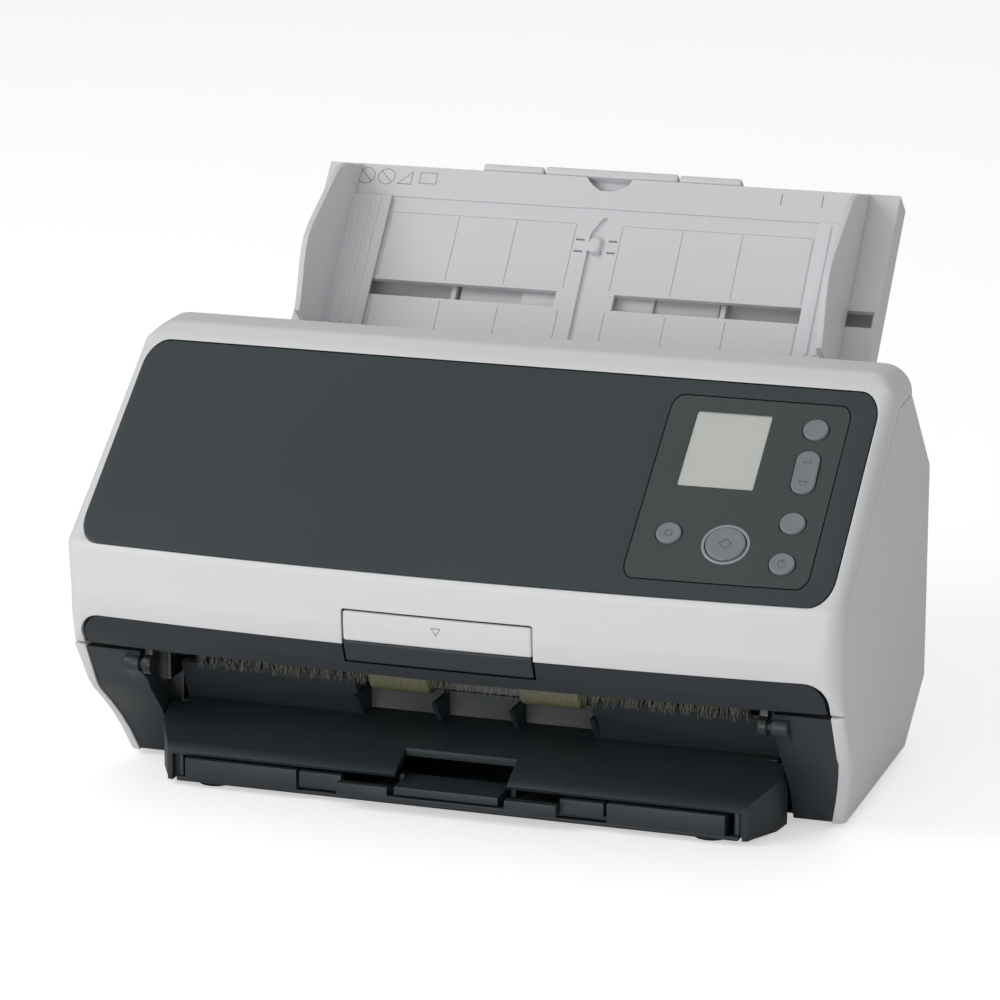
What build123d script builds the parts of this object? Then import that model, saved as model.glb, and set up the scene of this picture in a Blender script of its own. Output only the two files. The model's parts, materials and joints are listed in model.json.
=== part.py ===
from build123d import *
import os
from math import atan2, cos, degrees, hypot, pi, radians, sin

# Sheet fed document scanner. X runs across the paper, Y to the rear, Z up.
# The origin is on the table, under the middle of the scanner's box.
# In the code "depth" is the distance behind the brow, where the sloping panel meets the chin.

os.makedirs("parts", exist_ok=True)

# Driving dimensions, mm
half_width = 150.0
overall_height = 163.0
foot_height = 2.0
front_bulge = 6.6          # how far the chin's middle stands in front of its ends
box_middle = 105.442         # depth of the middle of the whole object's box
brow_z = 95.2
panel_top_z = 157.6
panel_run = 77.9           # depth gained by the panel between the brow and its top
chin_depth = -0.6          # depth of the chin's ends
chin_z = 68.0
seam_z = 54.5              # joint between the front unit and the base
rear_depth = 137.6
wall = 2.6
skirt_z = 32.0             # below this the side walls lean in
skirt_half_width = 143.0
paper_half_width = 118.0
chute_tilt = 49.87
chute_foot = (133.4, 116.2)   # depth and height where the chute's face meets the body
chute_top = (208.6, 205.3)
chute_half_width = 119.8
hinge_depth, hinge_z = 8.6, 47.8
pin_radius = 2.0
hinge_boss = 3.8             # radius of the eyes round the hinge pins
running_clearance = 0.06
shaft_radius = 3.0
lever_pivot = (-3.4, 79.6)
latch_depth, latch_z = 24.0, 92.0
latch_radius = 2.5
trunnion_radius = 1.2

panel_slope = degrees(atan2(panel_top_z - brow_z, panel_run))
slope_cos, slope_sin = cos(radians(panel_slope)), sin(radians(panel_slope))
chute_cos, chute_sin = cos(radians(chute_tilt)), sin(radians(chute_tilt))


def depth_plane(x):
    """A plane across the width at x, whose own axes are depth and height."""
    return Plane(origin=(x, -box_middle, 0), x_dir=(0, 1, 0), z_dir=(1, 0, 0))


def outline(plane, points):
    with BuildSketch(plane) as face:
        with BuildLine():
            Polyline(*points, close=True)
        make_face()
    return face.sketch


def bar(points, x_low, x_high, mode=Mode.ADD):
    """A side profile of depths and heights, carried across the width."""
    extrude(outline(depth_plane(x_low), points), amount=x_high - x_low, mode=mode)


def both_sides(points, x_low, x_high, mode=Mode.ADD):
    bar(points, x_low, x_high, mode)
    bar(points, -x_high, -x_low, mode)


def block(x_range, depth_range, z_range, mode=Mode.ADD):
    (x0, x1), (d0, d1), (z0, z1) = x_range, depth_range, z_range
    bar([(d0, z0), (d1, z0), (d1, z1), (d0, z1)], x0, x1, mode)


def twin_blocks(x_range, depth_range, z_range, mode=Mode.ADD):
    block(x_range, depth_range, z_range, mode)
    block((-x_range[1], -x_range[0]), depth_range, z_range, mode)


def rod(x_low, x_high, depth, z, radius, mode=Mode.ADD):
    with BuildSketch(depth_plane(x_low)) as disc:
        with Locations((depth, z)):
            Circle(radius)
    extrude(disc.sketch, amount=x_high - x_low, mode=mode)


def twin_rods(x_low, x_high, depth, z, radius, mode=Mode.ADD):
    rod(x_low, x_high, depth, z, radius, mode)
    rod(-x_high, -x_low, depth, z, radius, mode)


def chute_depth(z):
    """Depth of the paper's face at height z."""
    return chute_foot[0] + (z - chute_foot[1]) * chute_cos / chute_sin


def off_chute(z, distance):
    """The point of the paper's path at height z, moved to its front by a distance."""
    return chute_depth(z) - distance * chute_sin, z + distance * chute_cos


def chute_plane(t=0.0, lift=0.0):
    """A plane on the chute's face: t runs up the slope from its top edge, lift stands off it."""
    depth = chute_top[0] + t * chute_cos - lift * chute_sin
    z = chute_top[1] + t * chute_sin + lift * chute_cos
    return Plane(origin=(0, depth - box_middle, z), x_dir=(1, 0, 0), z_dir=(0, -chute_sin, chute_cos))


def chute_slab(x_range, t_range, lift_range, mode=Mode.ADD):
    (x0, x1), (t0, t1), (low, high) = x_range, t_range, lift_range
    face = outline(chute_plane(0, low), [(x0, t0), (x1, t0), (x1, t1), (x0, t1)])
    extrude(face, amount=high - low, mode=mode)


def front_depth(x, z):
    """Depth of the sloping front surface, ruled from the bowed brow to its straight top."""
    rise = (z - brow_z) / (panel_top_z - brow_z)
    bow = front_bulge * (1 - (x / half_width) ** 2) * (1 - rise)
    return panel_run * rise - bow + chin_depth


def panel_point(x, z):
    """A plane on the sloping surface, with its normal outwards."""
    step = 0.5
    across = Vector(2 * step, front_depth(x + step, z) - front_depth(x - step, z), 0)
    up = Vector(0, front_depth(x, z + step) - front_depth(x, z - step), 2 * step)
    origin = (x, front_depth(x, z) - box_middle, z)
    return Plane(origin=origin, x_dir=across.normalized(), z_dir=across.cross(up).normalized())


def envelope(inset=0.0):
    """The outer form of the front: stacked outlines with bowed fronts. An inset moves it inwards."""
    slope_inset = inset / slope_sin
    brow_drop = (slope_inset - inset) * (panel_top_z - brow_z) / panel_run
    levels = [
        (46.0, 11.0 + inset, 5.0), (seam_z, 6.4 + inset, 6.0), (60.5, 2.9 + inset, 6.4),
        (chin_z, 0.3 + inset, 6.8), (76.0, chin_depth + inset, front_bulge),
        (brow_z - brow_drop, chin_depth + inset, front_bulge),
        (panel_top_z, panel_run + chin_depth + slope_inset, 0.2),
        (overall_height - inset, 84.0 + slope_inset, 0.2),
    ]
    half = half_width - inset
    with BuildPart() as form:
        for z, depth, bow in levels:
            with BuildSketch(Plane.XY.offset(z)):
                with BuildLine():
                    front = depth - box_middle
                    back = 150 - box_middle
                    ThreePointArc((-half, front), (0, front - bow), (half, front))
                    Polyline((half, front), (half, back), (-half, back), (-half, front))
                make_face()
        loft(ruled=True)
    return form.part


# ---------------------------------------------------------------- front unit

outer_form = envelope()
inner_form = envelope(wall)

# Front cover: chin, rim round the panel, crest and the slope behind it
crest_end = 105.0
wing = [(-20, seam_z), (8.5, seam_z), (8.5, brow_z), (84.0, 150.6), (crest_end, 151.8),
        (crest_end, 170), (-20, 170)]
with BuildPart() as front_cover:
    add(outer_form)
    add(inner_form, mode=Mode.SUBTRACT)
    bar(wing, -half_width - 1, half_width + 1, Mode.INTERSECT)
    # rear slope down to the paper's entry
    bar([(99.0, overall_height - wall), (99.0, overall_height), (crest_end, overall_height),
         (132.4, 125.2), (130.4, 123.6), (103.6, overall_height - wall)], -146.3, 146.3)
    # dark opening under the chin
    with BuildSketch(Plane.XZ.offset(box_middle - 11)) as opening:
        with Locations((0, chin_z - 30)):
            RectangleRounded(288, 60, 9)
    extrude(opening.sketch, amount=40, mode=Mode.SUBTRACT)
    # window behind the dark panel
    with BuildSketch(Plane.XZ.offset(box_middle - 90)) as window:
        with Locations((0, (brow_z + panel_top_z) / 2)):
            RectangleRounded(289, panel_top_z - brow_z - 0.8, 6.5)
    extrude(window.sketch, amount=120, mode=Mode.SUBTRACT)
    # notch for the release lever, and the bosses that hold its trunnions
    block((-37.0, 37.0), (-12, 4), (60, 81.8), Mode.SUBTRACT)
    twin_blocks((37.2, 39.8), (-5.4, -0.8), (76.8, 82.4))
    twin_rods(36.9, 40.0, *lever_pivot, trunnion_radius + running_clearance, Mode.SUBTRACT)
front_cover.part.label = "front_cover"
export_step(front_cover.part, "parts/front_cover.step")

# Dark panel over the slope, open where the operator bezel sits
bezel_x = (67.2, 135.8)
bezel_z = (100.6, 153.0)
panel_skin = 2.0
under_panel = envelope(panel_skin)
under_bezel = envelope(panel_skin + 2.2)
bezel_middle = ((bezel_x[0] + bezel_x[1]) / 2, (bezel_z[0] + bezel_z[1]) / 2)
bezel_size = (bezel_x[1] - bezel_x[0], bezel_z[1] - bezel_z[0])
with BuildPart() as front_panel:
    with BuildSketch(Plane.XZ.offset(box_middle - 90)) as plate:
        with Locations((0, (brow_z + panel_top_z) / 2)):
            RectangleRounded(289 - 2 * 0.15, panel_top_z - brow_z - 1.1, 6.4)
        with Locations(bezel_middle):
            RectangleRounded(*bezel_size, 4, mode=Mode.SUBTRACT)
    extrude(plate.sketch, amount=120)
    add(outer_form, mode=Mode.INTERSECT)
    add(under_panel, mode=Mode.SUBTRACT)
front_panel.part.label = "front_panel"
export_step(front_panel.part, "parts/front_panel.step")

# Operator bezel with its holes
buttons = {
    "menu_button": (124.0, 145.3, 4.75), "manual_feed_button": (124.5, 118.7, 4.75),
    "power_button": (124.5, 107.4, 4.75), "stop_button": (80.5, 113.6, 4.75),
    "scan_button": (102.3, 111.7, 7.4),
}
rocker_place = (124.3, 133.1)
rocker_size = (19.6, 8.9)
rocker_pivot = 3.0           # how far under its face the rocker turns
lcd_low, lcd_high = (78.0, 126.9), (106.6, 148.4)
lcd_middle = ((lcd_low[0] + lcd_high[0]) / 2, (lcd_low[1] + lcd_high[1]) / 2)
lcd_size = (lcd_high[0] - lcd_low[0], lcd_high[1] - lcd_low[1])
key_clearance = 0.35
ring_width = 1.3
with BuildPart() as operator_bezel:
    with BuildSketch(Plane.XZ.offset(box_middle - 90)) as face:
        with Locations(bezel_middle):
            RectangleRounded(bezel_size[0] - 0.8, bezel_size[1] - 0.7, 3.7)
        with Locations(lcd_middle):
            RectangleRounded(*lcd_size, 0.6, mode=Mode.SUBTRACT)
    extrude(face.sketch, amount=120)
    add(outer_form, mode=Mode.INTERSECT)
    add(under_panel, mode=Mode.SUBTRACT)
    for x, z, radius in buttons.values():
        with BuildSketch(panel_point(x, z).offset(-8)) as hole:
            Circle(radius + key_clearance)
        extrude(hole.sketch, amount=16, mode=Mode.SUBTRACT)
    with BuildSketch(panel_point(*buttons["scan_button"][:2]).offset(-0.9)) as seat:
        Circle(buttons["scan_button"][2] + key_clearance + ring_width)
    extrude(seat.sketch, amount=8, mode=Mode.SUBTRACT)
    with BuildSketch(panel_point(*rocker_place).offset(-8)) as hole:
        SlotOverall(rocker_size[0] + 2 * key_clearance, rocker_size[1] + 2 * key_clearance, rotation=90)
    extrude(hole.sketch, amount=16, mode=Mode.SUBTRACT)
operator_bezel.part.label = "operator_bezel"
export_step(operator_bezel.part, "parts/operator_bezel.step")

# Display window, flush in the bezel
with BuildPart() as lcd_window:
    with BuildSketch(Plane.XZ.offset(box_middle - 90)) as face:
        with Locations(lcd_middle):
            RectangleRounded(lcd_size[0] - 0.2, lcd_size[1] - 0.2, 0.5)
    extrude(face.sketch, amount=120)
    add(envelope(0.4), mode=Mode.INTERSECT)
    add(under_panel, mode=Mode.SUBTRACT)
lcd_window.part.label = "lcd_window"
export_step(lcd_window.part, "parts/lcd_window.step")

# Buttons: a cap that stands proud of the bezel, and a flange behind it
cap_height, flange_depth, press_travel = 1.0, 3.2, 0.8
keys = {}
for name, (x, z, radius) in buttons.items():
    with BuildPart() as key:
        with BuildSketch(panel_point(x, z).offset(-panel_skin - 0.9)) as stem:
            Circle(radius)
        extrude(stem.sketch, amount=panel_skin + 0.9 + cap_height)
        top = key.faces().sort_by(SortBy.AREA)[-2:].sort_by(Axis.Z)[-1]
        fillet(top.edges(), 0.45)
        with BuildSketch(panel_point(x, z).offset(-panel_skin - 0.9 - 0.9)) as flange:
            Circle(radius + 0.9)
        extrude(flange.sketch, amount=0.9)
    keys[name] = key
for name, key in keys.items():
    key.part.label = name
    export_step(key.part, f"parts/{name}.step")

# Up and down rocker
with BuildPart() as rocker_key:
    with BuildSketch(panel_point(*rocker_place).offset(-rocker_pivot - 0.9)) as pad:
        SlotOverall(*rocker_size, rotation=90)
    extrude(pad.sketch, amount=rocker_pivot + 0.9 + 0.9)
    # trunnions under the bezel, on the cross axis
    key_plane = panel_point(*rocker_place)
    start = key_plane.origin - key_plane.z_dir * rocker_pivot - key_plane.x_dir * (rocker_size[1] / 2 + 1.4)
    with BuildSketch(Plane(origin=start, x_dir=key_plane.y_dir, z_dir=key_plane.x_dir)) as pivot:
        Circle(0.8)
    extrude(pivot.sketch, amount=rocker_size[1] + 2.8)
rocker_key.part.label = "rocker_key"
export_step(rocker_key.part, "parts/rocker_key.step")

# Operator board behind the bezel, with the display module soldered on
board_plane = Plane(origin=(101.5, 34.0 - box_middle, 113.5), x_dir=(1, 0, 0), z_dir=(0, -slope_sin, slope_cos))
with BuildPart() as operator_board:
    with BuildSketch(board_plane.offset(-1.6)) as sheet:
        Rectangle(64, 78)
    extrude(sheet.sketch, amount=1.6)
    with BuildSketch(board_plane) as module:
        with Locations((lcd_middle[0] - 101.5, 30.0)):
            Rectangle(lcd_size[0] + 4, 17.0)
    extrude(module.sketch, amount=3.0)
operator_board.part.label = "operator_board"
export_step(operator_board.part, "parts/operator_board.step")

ring_x, ring_z, ring_inner = buttons["scan_button"]
with BuildPart() as scan_ring:
    with BuildSketch(panel_point(ring_x, ring_z).offset(-0.9)) as ring:
        Circle(ring_inner + key_clearance + ring_width)
        Circle(ring_inner + key_clearance, mode=Mode.SUBTRACT)
    extrude(ring.sketch, amount=0.9 + 0.35)
scan_ring.part.label = "scan_ring"
export_step(scan_ring.part, "parts/scan_ring.step")

# Dark trim under the chin, with the roof of the paper exit
inner_trim = envelope(3.2)
with BuildPart() as exit_roof:
    add(envelope(1.0))
    block((-paper_half_width, paper_half_width), (-20.0, 46.0), (seam_z + 0.4, seam_z + 2.6), Mode.INTERSECT)
with BuildPart() as lower_trim:
    add(envelope(0.5))
    add(inner_trim, mode=Mode.SUBTRACT)
    with BuildSketch(Plane.XZ.offset(box_middle - 14)) as strip:
        with Locations((0, chin_z - 30)):
            RectangleRounded(287.4, 59.4, 8.7)
    extrude(strip.sketch, amount=40, mode=Mode.INTERSECT)
    block((-half_width, half_width), (-20, 30), (seam_z + 0.4, chin_z), Mode.INTERSECT)
    block((-37.2, 37.2), (-12, 3.0), (60, 81.8), Mode.SUBTRACT)
    add(exit_roof.part)
lower_trim.part.label = "lower_trim"
export_step(lower_trim.part, "parts/lower_trim.step")

# Bristles that wipe static off the leaving paper
with BuildPart() as brush_strip:
    block((-108.5, 108.5), (33.0, 34.0), (46.6, seam_z + 0.4))
    block((-110.0, 110.0), (31.8, 34.8), (seam_z - 1.2, seam_z + 0.4))
brush_strip.part.label = "brush_strip"
export_step(brush_strip.part, "parts/brush_strip.step")

# Upper paper guide with its two side plates, hinge arms and roller slots
guide_lift = 3.0
guide_skin = 2.4
path_levels = (119.0, 60.0)
upper_path = [off_chute(path_levels[0], guide_lift), off_chute(path_levels[1], guide_lift),
              (64.0, seam_z + 2.8), (47.0, seam_z + 2.8)]
upper_back = [(47.0, seam_z + 2.8 + guide_skin), (63.2, seam_z + 2.8 + guide_skin),
              off_chute(path_levels[1], guide_lift + guide_skin),
              off_chute(path_levels[0], guide_lift + guide_skin)]
side_plate = [(11.5, 62.0), (8.0, 74.0), (8.0, 89.0), (83.0, 150.5), (98.0, 150.5),
              off_chute(path_levels[0], guide_lift), off_chute(path_levels[1], guide_lift),
              (64.0, seam_z + 2.8), (16.0, seam_z + 2.8)]
plate_x = (paper_half_width + 0.5, paper_half_width + 3.5)
roller_x = 29.9
roller_width = 23.8
pick_at, feed_at, glass_at = 105.3, 84.0, 71.0
with BuildPart() as upper_guide:
    bar(upper_path + upper_back, -plate_x[1], plate_x[1])
    both_sides(side_plate, *plate_x)
    both_sides([(7.6, 48.0), (8.4, 56.0), (8.0, 64.0), (8.0, 76.0), (17.0, 76.0), (15.6, 49.0), (11.2, 45.6)],
               *plate_x)
    twin_rods(plate_x[0], plate_x[1], hinge_depth, hinge_z, hinge_boss)
    twin_rods(plate_x[0] - 1, plate_x[1] + 1, hinge_depth, hinge_z, pin_radius + running_clearance,
              Mode.SUBTRACT)
    for at in (pick_at, feed_at):
        low, high = off_chute(at, 0), off_chute(at, 12)
        for middle in (-roller_x, roller_x):
            with BuildSketch(Plane(origin=(middle, low[0] - box_middle, low[1]), x_dir=(1, 0, 0),
                                   z_dir=(0, -chute_sin, chute_cos))) as slot:
                Rectangle(roller_width + 3, 19)
            extrude(slot.sketch, amount=12, mode=Mode.SUBTRACT)
    glass_low = off_chute(glass_at, 0)
    with BuildSketch(Plane(origin=(0, glass_low[0] - box_middle, glass_low[1]), x_dir=(1, 0, 0),
                           z_dir=(0, -chute_sin, chute_cos))) as slot:
        Rectangle(224.4, 12.4)
    extrude(slot.sketch, amount=12, mode=Mode.SUBTRACT)
    for at in (pick_at, feed_at):
        spot = off_chute(at, 8.6)
        twin_rods(plate_x[0] - 1, plate_x[1] + 1, *spot, 2.0 + running_clearance, Mode.SUBTRACT)
    twin_rods(plate_x[0] - 1, plate_x[1] + 1, latch_depth, latch_z, latch_radius + running_clearance,
              Mode.SUBTRACT)
upper_guide.part.label = "upper_guide"
export_step(upper_guide.part, "parts/upper_guide.step")


def path_block(x_half, at, length, lift_range):
    """A strip that lies along the paper's path at the height at."""
    start = off_chute(at, lift_range[0])
    with BuildSketch(Plane(origin=(0, start[0] - box_middle, start[1]), x_dir=(1, 0, 0),
                           z_dir=(0, -chute_sin, chute_cos))) as strip:
        Rectangle(2 * x_half, length)
    extrude(strip.sketch, amount=lift_range[1] - lift_range[0])


with BuildPart() as upper_glass:
    path_block(112.0, glass_at, 12.0, (guide_lift, guide_lift + guide_skin))
upper_glass.part.label = "upper_glass"
export_step(upper_glass.part, "parts/upper_glass.step")

with BuildPart() as upper_image_sensor:
    path_block(114.0, glass_at, 15.0, (guide_lift + guide_skin, guide_lift + guide_skin + 13.0))
upper_image_sensor.part.label = "upper_image_sensor"
export_step(upper_image_sensor.part, "parts/upper_image_sensor.step")

# Brake rollers face the pick rollers; pinch rollers face the feed rollers
for name, at in (("brake_rollers", pick_at), ("pinch_rollers", feed_at)):
    spot = off_chute(at, 8.6)
    with BuildPart() as idle_rollers:
        rod(-plate_x[1], plate_x[1], *spot, 2.0)
        twin_rods(roller_x - roller_width / 2, roller_x + roller_width / 2, *spot, 7.6)
    idle_rollers.part.label = name
    export_step(idle_rollers.part, f"parts/{name}.step")

# Cover release lever in the chin: light face, dark grip under it in one piece
with BuildPart() as release_lever:
    add(outer_form)
    add(envelope(2.4), mode=Mode.SUBTRACT)
    with BuildSketch(Plane.XZ.offset(box_middle - 3.4)) as face:
        with Locations((0, 70.9)):
            Rectangle(73.0, 20.2)
    extrude(face.sketch, amount=30, mode=Mode.INTERSECT)
    twin_blocks((28.0, 36.4), (-5.6, -2.2), (lever_pivot[1] - 1.2, lever_pivot[1] + 1.2))
    twin_rods(36.0, 39.6, *lever_pivot, trunnion_radius)
release_lever.part.label = "release_lever"
export_step(release_lever.part, "parts/release_lever.step")

# Latch bar that the lever turns, with a hook at each end
with BuildPart() as latch_bar:
    rod(-plate_x[1], plate_x[1], latch_depth, latch_z, latch_radius)
    both_sides([(22.5, 92.0), (25.5, 92.0), (29.0, 84.0), (29.0, 78.5), (25.0, 78.5), (26.0, 83.0)],
               112.0, 115.0)
latch_bar.part.label = "latch_bar"
export_step(latch_bar.part, "parts/latch_bar.step")

# ---------------------------------------------------------------- base

base_edge = [(6.3, seam_z - 1.1), (11.0, 45.0), (16.5, 35.2), (25.6, 25.6), (31.0, 19.0), (35.7, 11.6),
             (40.0, foot_height)]
cover_side = base_edge + [(rear_depth, foot_height), (rear_depth, 115.8), (crest_end - 1.4, 151.2),
                          (84.4, 150.1), (9.0, brow_z - 0.3), (9.0, seam_z - 0.5), (7.2, seam_z - 0.6)]
lean = half_width - skirt_half_width
rim_width = 4.7              # width of the light rim in front of each side wall


def side_wall(outer, thickness, z_top):
    """Cross-section of a side wall that leans in below the skirt line."""
    return [(outer, z_top), (outer, skirt_z), (outer - lean, foot_height),
            (outer - lean - thickness, foot_height), (outer - thickness, skirt_z),
            (outer - thickness, z_top)]


for name, side in (("left_side_cover", -1), ("right_side_cover", 1)):
    with BuildPart() as side_cover:
        section = [(side * x, z) for x, z in side_wall(half_width, wall, 170)]
        extrude(outline(Plane.XZ.offset(box_middle + 20), section), amount=-220)
        # front rim that frames the dark cheek
        rim = [(side * x, z) for x, z in side_wall(half_width, rim_width, seam_z - 0.6)]
        extrude(outline(Plane.XZ.offset(box_middle), rim), amount=-46)
        bar(cover_side, -half_width - 1, half_width + 1, Mode.INTERSECT)
        # flange at the rear, which the rear cover meets
        x_range = sorted((side * (skirt_half_width - wall - 5), side * (half_width - wall)))
        block(x_range, (rear_depth - wall, rear_depth), (skirt_z, 112.0))
    side_cover.part.label = name
    export_step(side_cover.part, f"parts/{name}.step")

# Dark cheeks beside the paper exit, each with a hinge pin
cheek_inner = 123.4
cheek_profile = [(7.0, seam_z - 1.6), (11.6, 45.0), (17.1, 35.2), (26.2, 25.6), (31.6, 19.0), (36.3, 11.6),
                 (40.5, foot_height + 0.4), (46.0, foot_height + 0.4), (46.0, 33.6), (33.0, 33.6), (33.0, seam_z - 1.6)]
for name, side in (("left_cheek", -1), ("right_cheek", 1)):
    with BuildPart() as cheek:
        section = [(side * cheek_inner, foot_height), (side * cheek_inner, seam_z),
                   (side * (half_width - rim_width - 0.1), seam_z),
                   (side * (half_width - rim_width - 0.1), skirt_z),
                   (side * (skirt_half_width - rim_width - 0.1), foot_height)]
        extrude(outline(Plane.XZ.offset(box_middle), section), amount=-60)
        bar(cheek_profile, -half_width, half_width, Mode.INTERSECT)
        ear = sorted((side * cheek_inner, side * (cheek_inner + 6.0)))
        rod(*ear, hinge_depth, hinge_z, hinge_boss - 0.4)
        bar([(8.6, 44.6), (16.0, 38.0), (24.0, 38.0), (24.0, 50.0), (8.6, 51.0)], *ear)
    cheek.part.label = name
    export_step(cheek.part, f"parts/{name}.step")

with BuildPart() as hinge_pins:
    twin_rods(plate_x[0], cheek_inner, hinge_depth, hinge_z, pin_radius)
hinge_pins.part.label = "hinge_pins"
export_step(hinge_pins.part, "parts/hinge_pins.step")

# Base tray: floor, the runners of the stacker slides and the deck over them
floor_top = foot_height + 1.6
deck_z = (13.0, 15.0)
tray_half = skirt_half_width - wall - 1.2
with BuildPart() as base_tray:
    block((-tray_half, tray_half), (46.4, 134.6), (foot_height, floor_top))
    block((-110.6, 110.6), (10.0, 46.4), (foot_height, floor_top))
    twin_blocks((108.4, 110.6), (36.5, 134.6), (floor_top, deck_z[1]))
    twin_blocks((108.4, 110.6), (12.0, 36.5), (floor_top, 12.4))
    block((-110.6, 110.6), (52.0, 134.6), deck_z)
    block((-tray_half, tray_half), (132.6, 134.6), (floor_top, deck_z[1]))
base_tray.part.label = "base_tray"
export_step(base_tray.part, "parts/base_tray.step")

# Side frames that carry the shafts
frame_x = (paper_half_width + 4.0, paper_half_width + 6.5)
pick_spot = off_chute(pick_at, -8.4)
feed_spot = off_chute(feed_at, -8.4)
eject_spot = (42.6, 44.0)
motor_spot = (92.0, 34.0)
side_frame = [(46.4, deck_z[1] + 0.4), (132.0, deck_z[1] + 0.4), (132.0, 100.0), (128.5, 108.0),
              off_chute(58.0, -1.0), (62.0, 49.0), (46.4, 49.0)]
for name, side in (("left_side_frame", -1), ("right_side_frame", 1)):
    x_range = sorted((side * frame_x[0], side * frame_x[1]))
    with BuildPart() as frame_plate:
        bar(side_frame, *x_range)
        rod(*x_range, *pick_spot, 7.0)
        bar([(33.6, 34.2), (46.6, 34.2), (46.6, 49.0), (33.6, 49.0)], *x_range)
        rod(*x_range, *motor_spot, 17.0)
        rod(x_range[0] - 1, x_range[1] + 1, *motor_spot, 2.5 + running_clearance, Mode.SUBTRACT)
        for spot in (pick_spot, feed_spot, eject_spot):
            rod(x_range[0] - 1, x_range[1] + 1, *spot, shaft_radius + running_clearance, Mode.SUBTRACT)
    frame_plate.part.label = name
    export_step(frame_plate.part, f"parts/{name}.step")

# Lower paper guide, with slots for the rollers and the glass
lower_face = [(chute_foot[0] - 0.4, chute_foot[1] - 0.5), (chute_depth(58.5), 58.5), (67.0, 51.2),
              (53.0, 50.2)]
lower_under = [(53.0, 47.8), (67.6, 48.8), off_chute(57.2, -guide_skin), off_chute(113.6, -guide_skin)]
with BuildPart() as lower_guide:
    bar(lower_face + lower_under, -paper_half_width - 3.6, paper_half_width + 3.6)
    for at in (pick_at, feed_at):
        start = off_chute(at, -6)
        for middle in (-roller_x, roller_x):
            with BuildSketch(Plane(origin=(middle, start[0] - box_middle, start[1]), x_dir=(1, 0, 0),
                                   z_dir=(0, -chute_sin, chute_cos))) as slot:
                Rectangle(roller_width + 2, 20)
            extrude(slot.sketch, amount=12, mode=Mode.SUBTRACT)
    start = off_chute(glass_at, -6)
    with BuildSketch(Plane(origin=(0, start[0] - box_middle, start[1]), x_dir=(1, 0, 0),
                           z_dir=(0, -chute_sin, chute_cos))) as slot:
        Rectangle(224.4, 12.4)
    extrude(slot.sketch, amount=12, mode=Mode.SUBTRACT)
lower_guide.part.label = "lower_guide"
export_step(lower_guide.part, "parts/lower_guide.step")

with BuildPart() as lower_glass:
    path_block(112.0, glass_at, 12.0, (-guide_skin, 0.0))
lower_glass.part.label = "lower_glass"
export_step(lower_glass.part, "parts/lower_glass.step")

with BuildPart() as lower_image_sensor:
    path_block(114.0, glass_at, 15.0, (-guide_skin - 13.0, -guide_skin))
lower_image_sensor.part.label = "lower_image_sensor"
export_step(lower_image_sensor.part, "parts/lower_image_sensor.step")

# Ribbed wall under the exit, and the ledge at its foot
rib_places = (-47.0, -15.3, 15.3, 47.0)
with BuildPart() as exit_guide:
    both_sides([(34.0, 41.6), (39.4, 41.6), (50.5, 34.5), (50.5, 25.5), (42.0, 25.5)], 47.0, 118.0)
    block((-47.0, 47.0), (52.2, 54.2), (25.5, 46.0))
    block((-118.0, 118.0), (50.5, 54.2), (25.5, 35.0))
    block((-118.0, 118.0), (36.4, 54.2), (23.5, 25.5))
    for x in rib_places:
        bar([(34.0, 34.8), (52.2, 34.8), (52.2, 25.5), (42.0, 25.5)], x - 0.9, x + 0.9)
exit_guide.part.label = "exit_guide"
export_step(exit_guide.part, "parts/exit_guide.step")

# Driven roller sets: a steel shaft with a pair of rubber rollers
bore_ends = frame_x[1] + 1.5
pulley_radius = 7.4
for set_name, spot, radius in (("pick", pick_spot, 8.4), ("feed", feed_spot, 8.4),
                               ("eject", eject_spot, 8.0)):
    with BuildPart() as shaft:
        rod(-bore_ends - 8.5, bore_ends, *spot, shaft_radius)
    shaft.part.label = f"{set_name}_shaft"
    export_step(shaft.part, f"parts/{set_name}_shaft.step")
    with BuildPart() as rollers:
        twin_rods(roller_x - roller_width / 2, roller_x + roller_width / 2, *spot, radius)
        twin_rods(roller_x - roller_width, roller_x + roller_width, *spot, shaft_radius, Mode.SUBTRACT)
        # driven pulley on the left end
        if set_name != "pick":
            rod(-bore_ends - 8.0, -bore_ends - 1.0, *spot, pulley_radius)
            rod(-bore_ends - 9.0, -bore_ends, *spot, shaft_radius, Mode.SUBTRACT)
    rollers.part.label = f"{set_name}_rollers"
    export_step(rollers.part, f"parts/{set_name}_rollers.step")

# Drive: motor, its pulley and the belt round the pulleys
belt_x = (-bore_ends - 7.4, -bore_ends - 1.6)
with BuildPart() as drive_motor:
    rod(-frame_x[0] + 0.0, -frame_x[0] + 34.0, *motor_spot, 15.0)
drive_motor.part.label = "drive_motor"
export_step(drive_motor.part, "parts/drive_motor.step")

with BuildPart() as motor_pulley:
    rod(-bore_ends - 8.0, -bore_ends - 1.0, *motor_spot, 5.0)
    rod(-bore_ends - 1.0, -frame_x[0] - 0.3, *motor_spot, 2.5)
motor_pulley.part.label = "motor_pulley"
export_step(motor_pulley.part, "parts/motor_pulley.step")


def belt_loop(inset):
    """The belt's line round the three pulleys: a hull of three circles."""
    places = ((feed_spot, pulley_radius), (eject_spot, pulley_radius), (motor_spot, 5.0))
    with BuildSketch(depth_plane(belt_x[0])) as loop:
        for (depth, z), radius in places:
            with Locations((depth, z)):
                Circle(radius + inset)
        make_hull()
    return loop.sketch


with BuildPart() as drive_belt:
    extrude(belt_loop(1.6), amount=belt_x[1] - belt_x[0])
    extrude(belt_loop(0.35), amount=belt_x[1] - belt_x[0], mode=Mode.SUBTRACT)
drive_belt.part.label = "drive_belt"
export_step(drive_belt.part, "parts/drive_belt.step")

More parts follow.
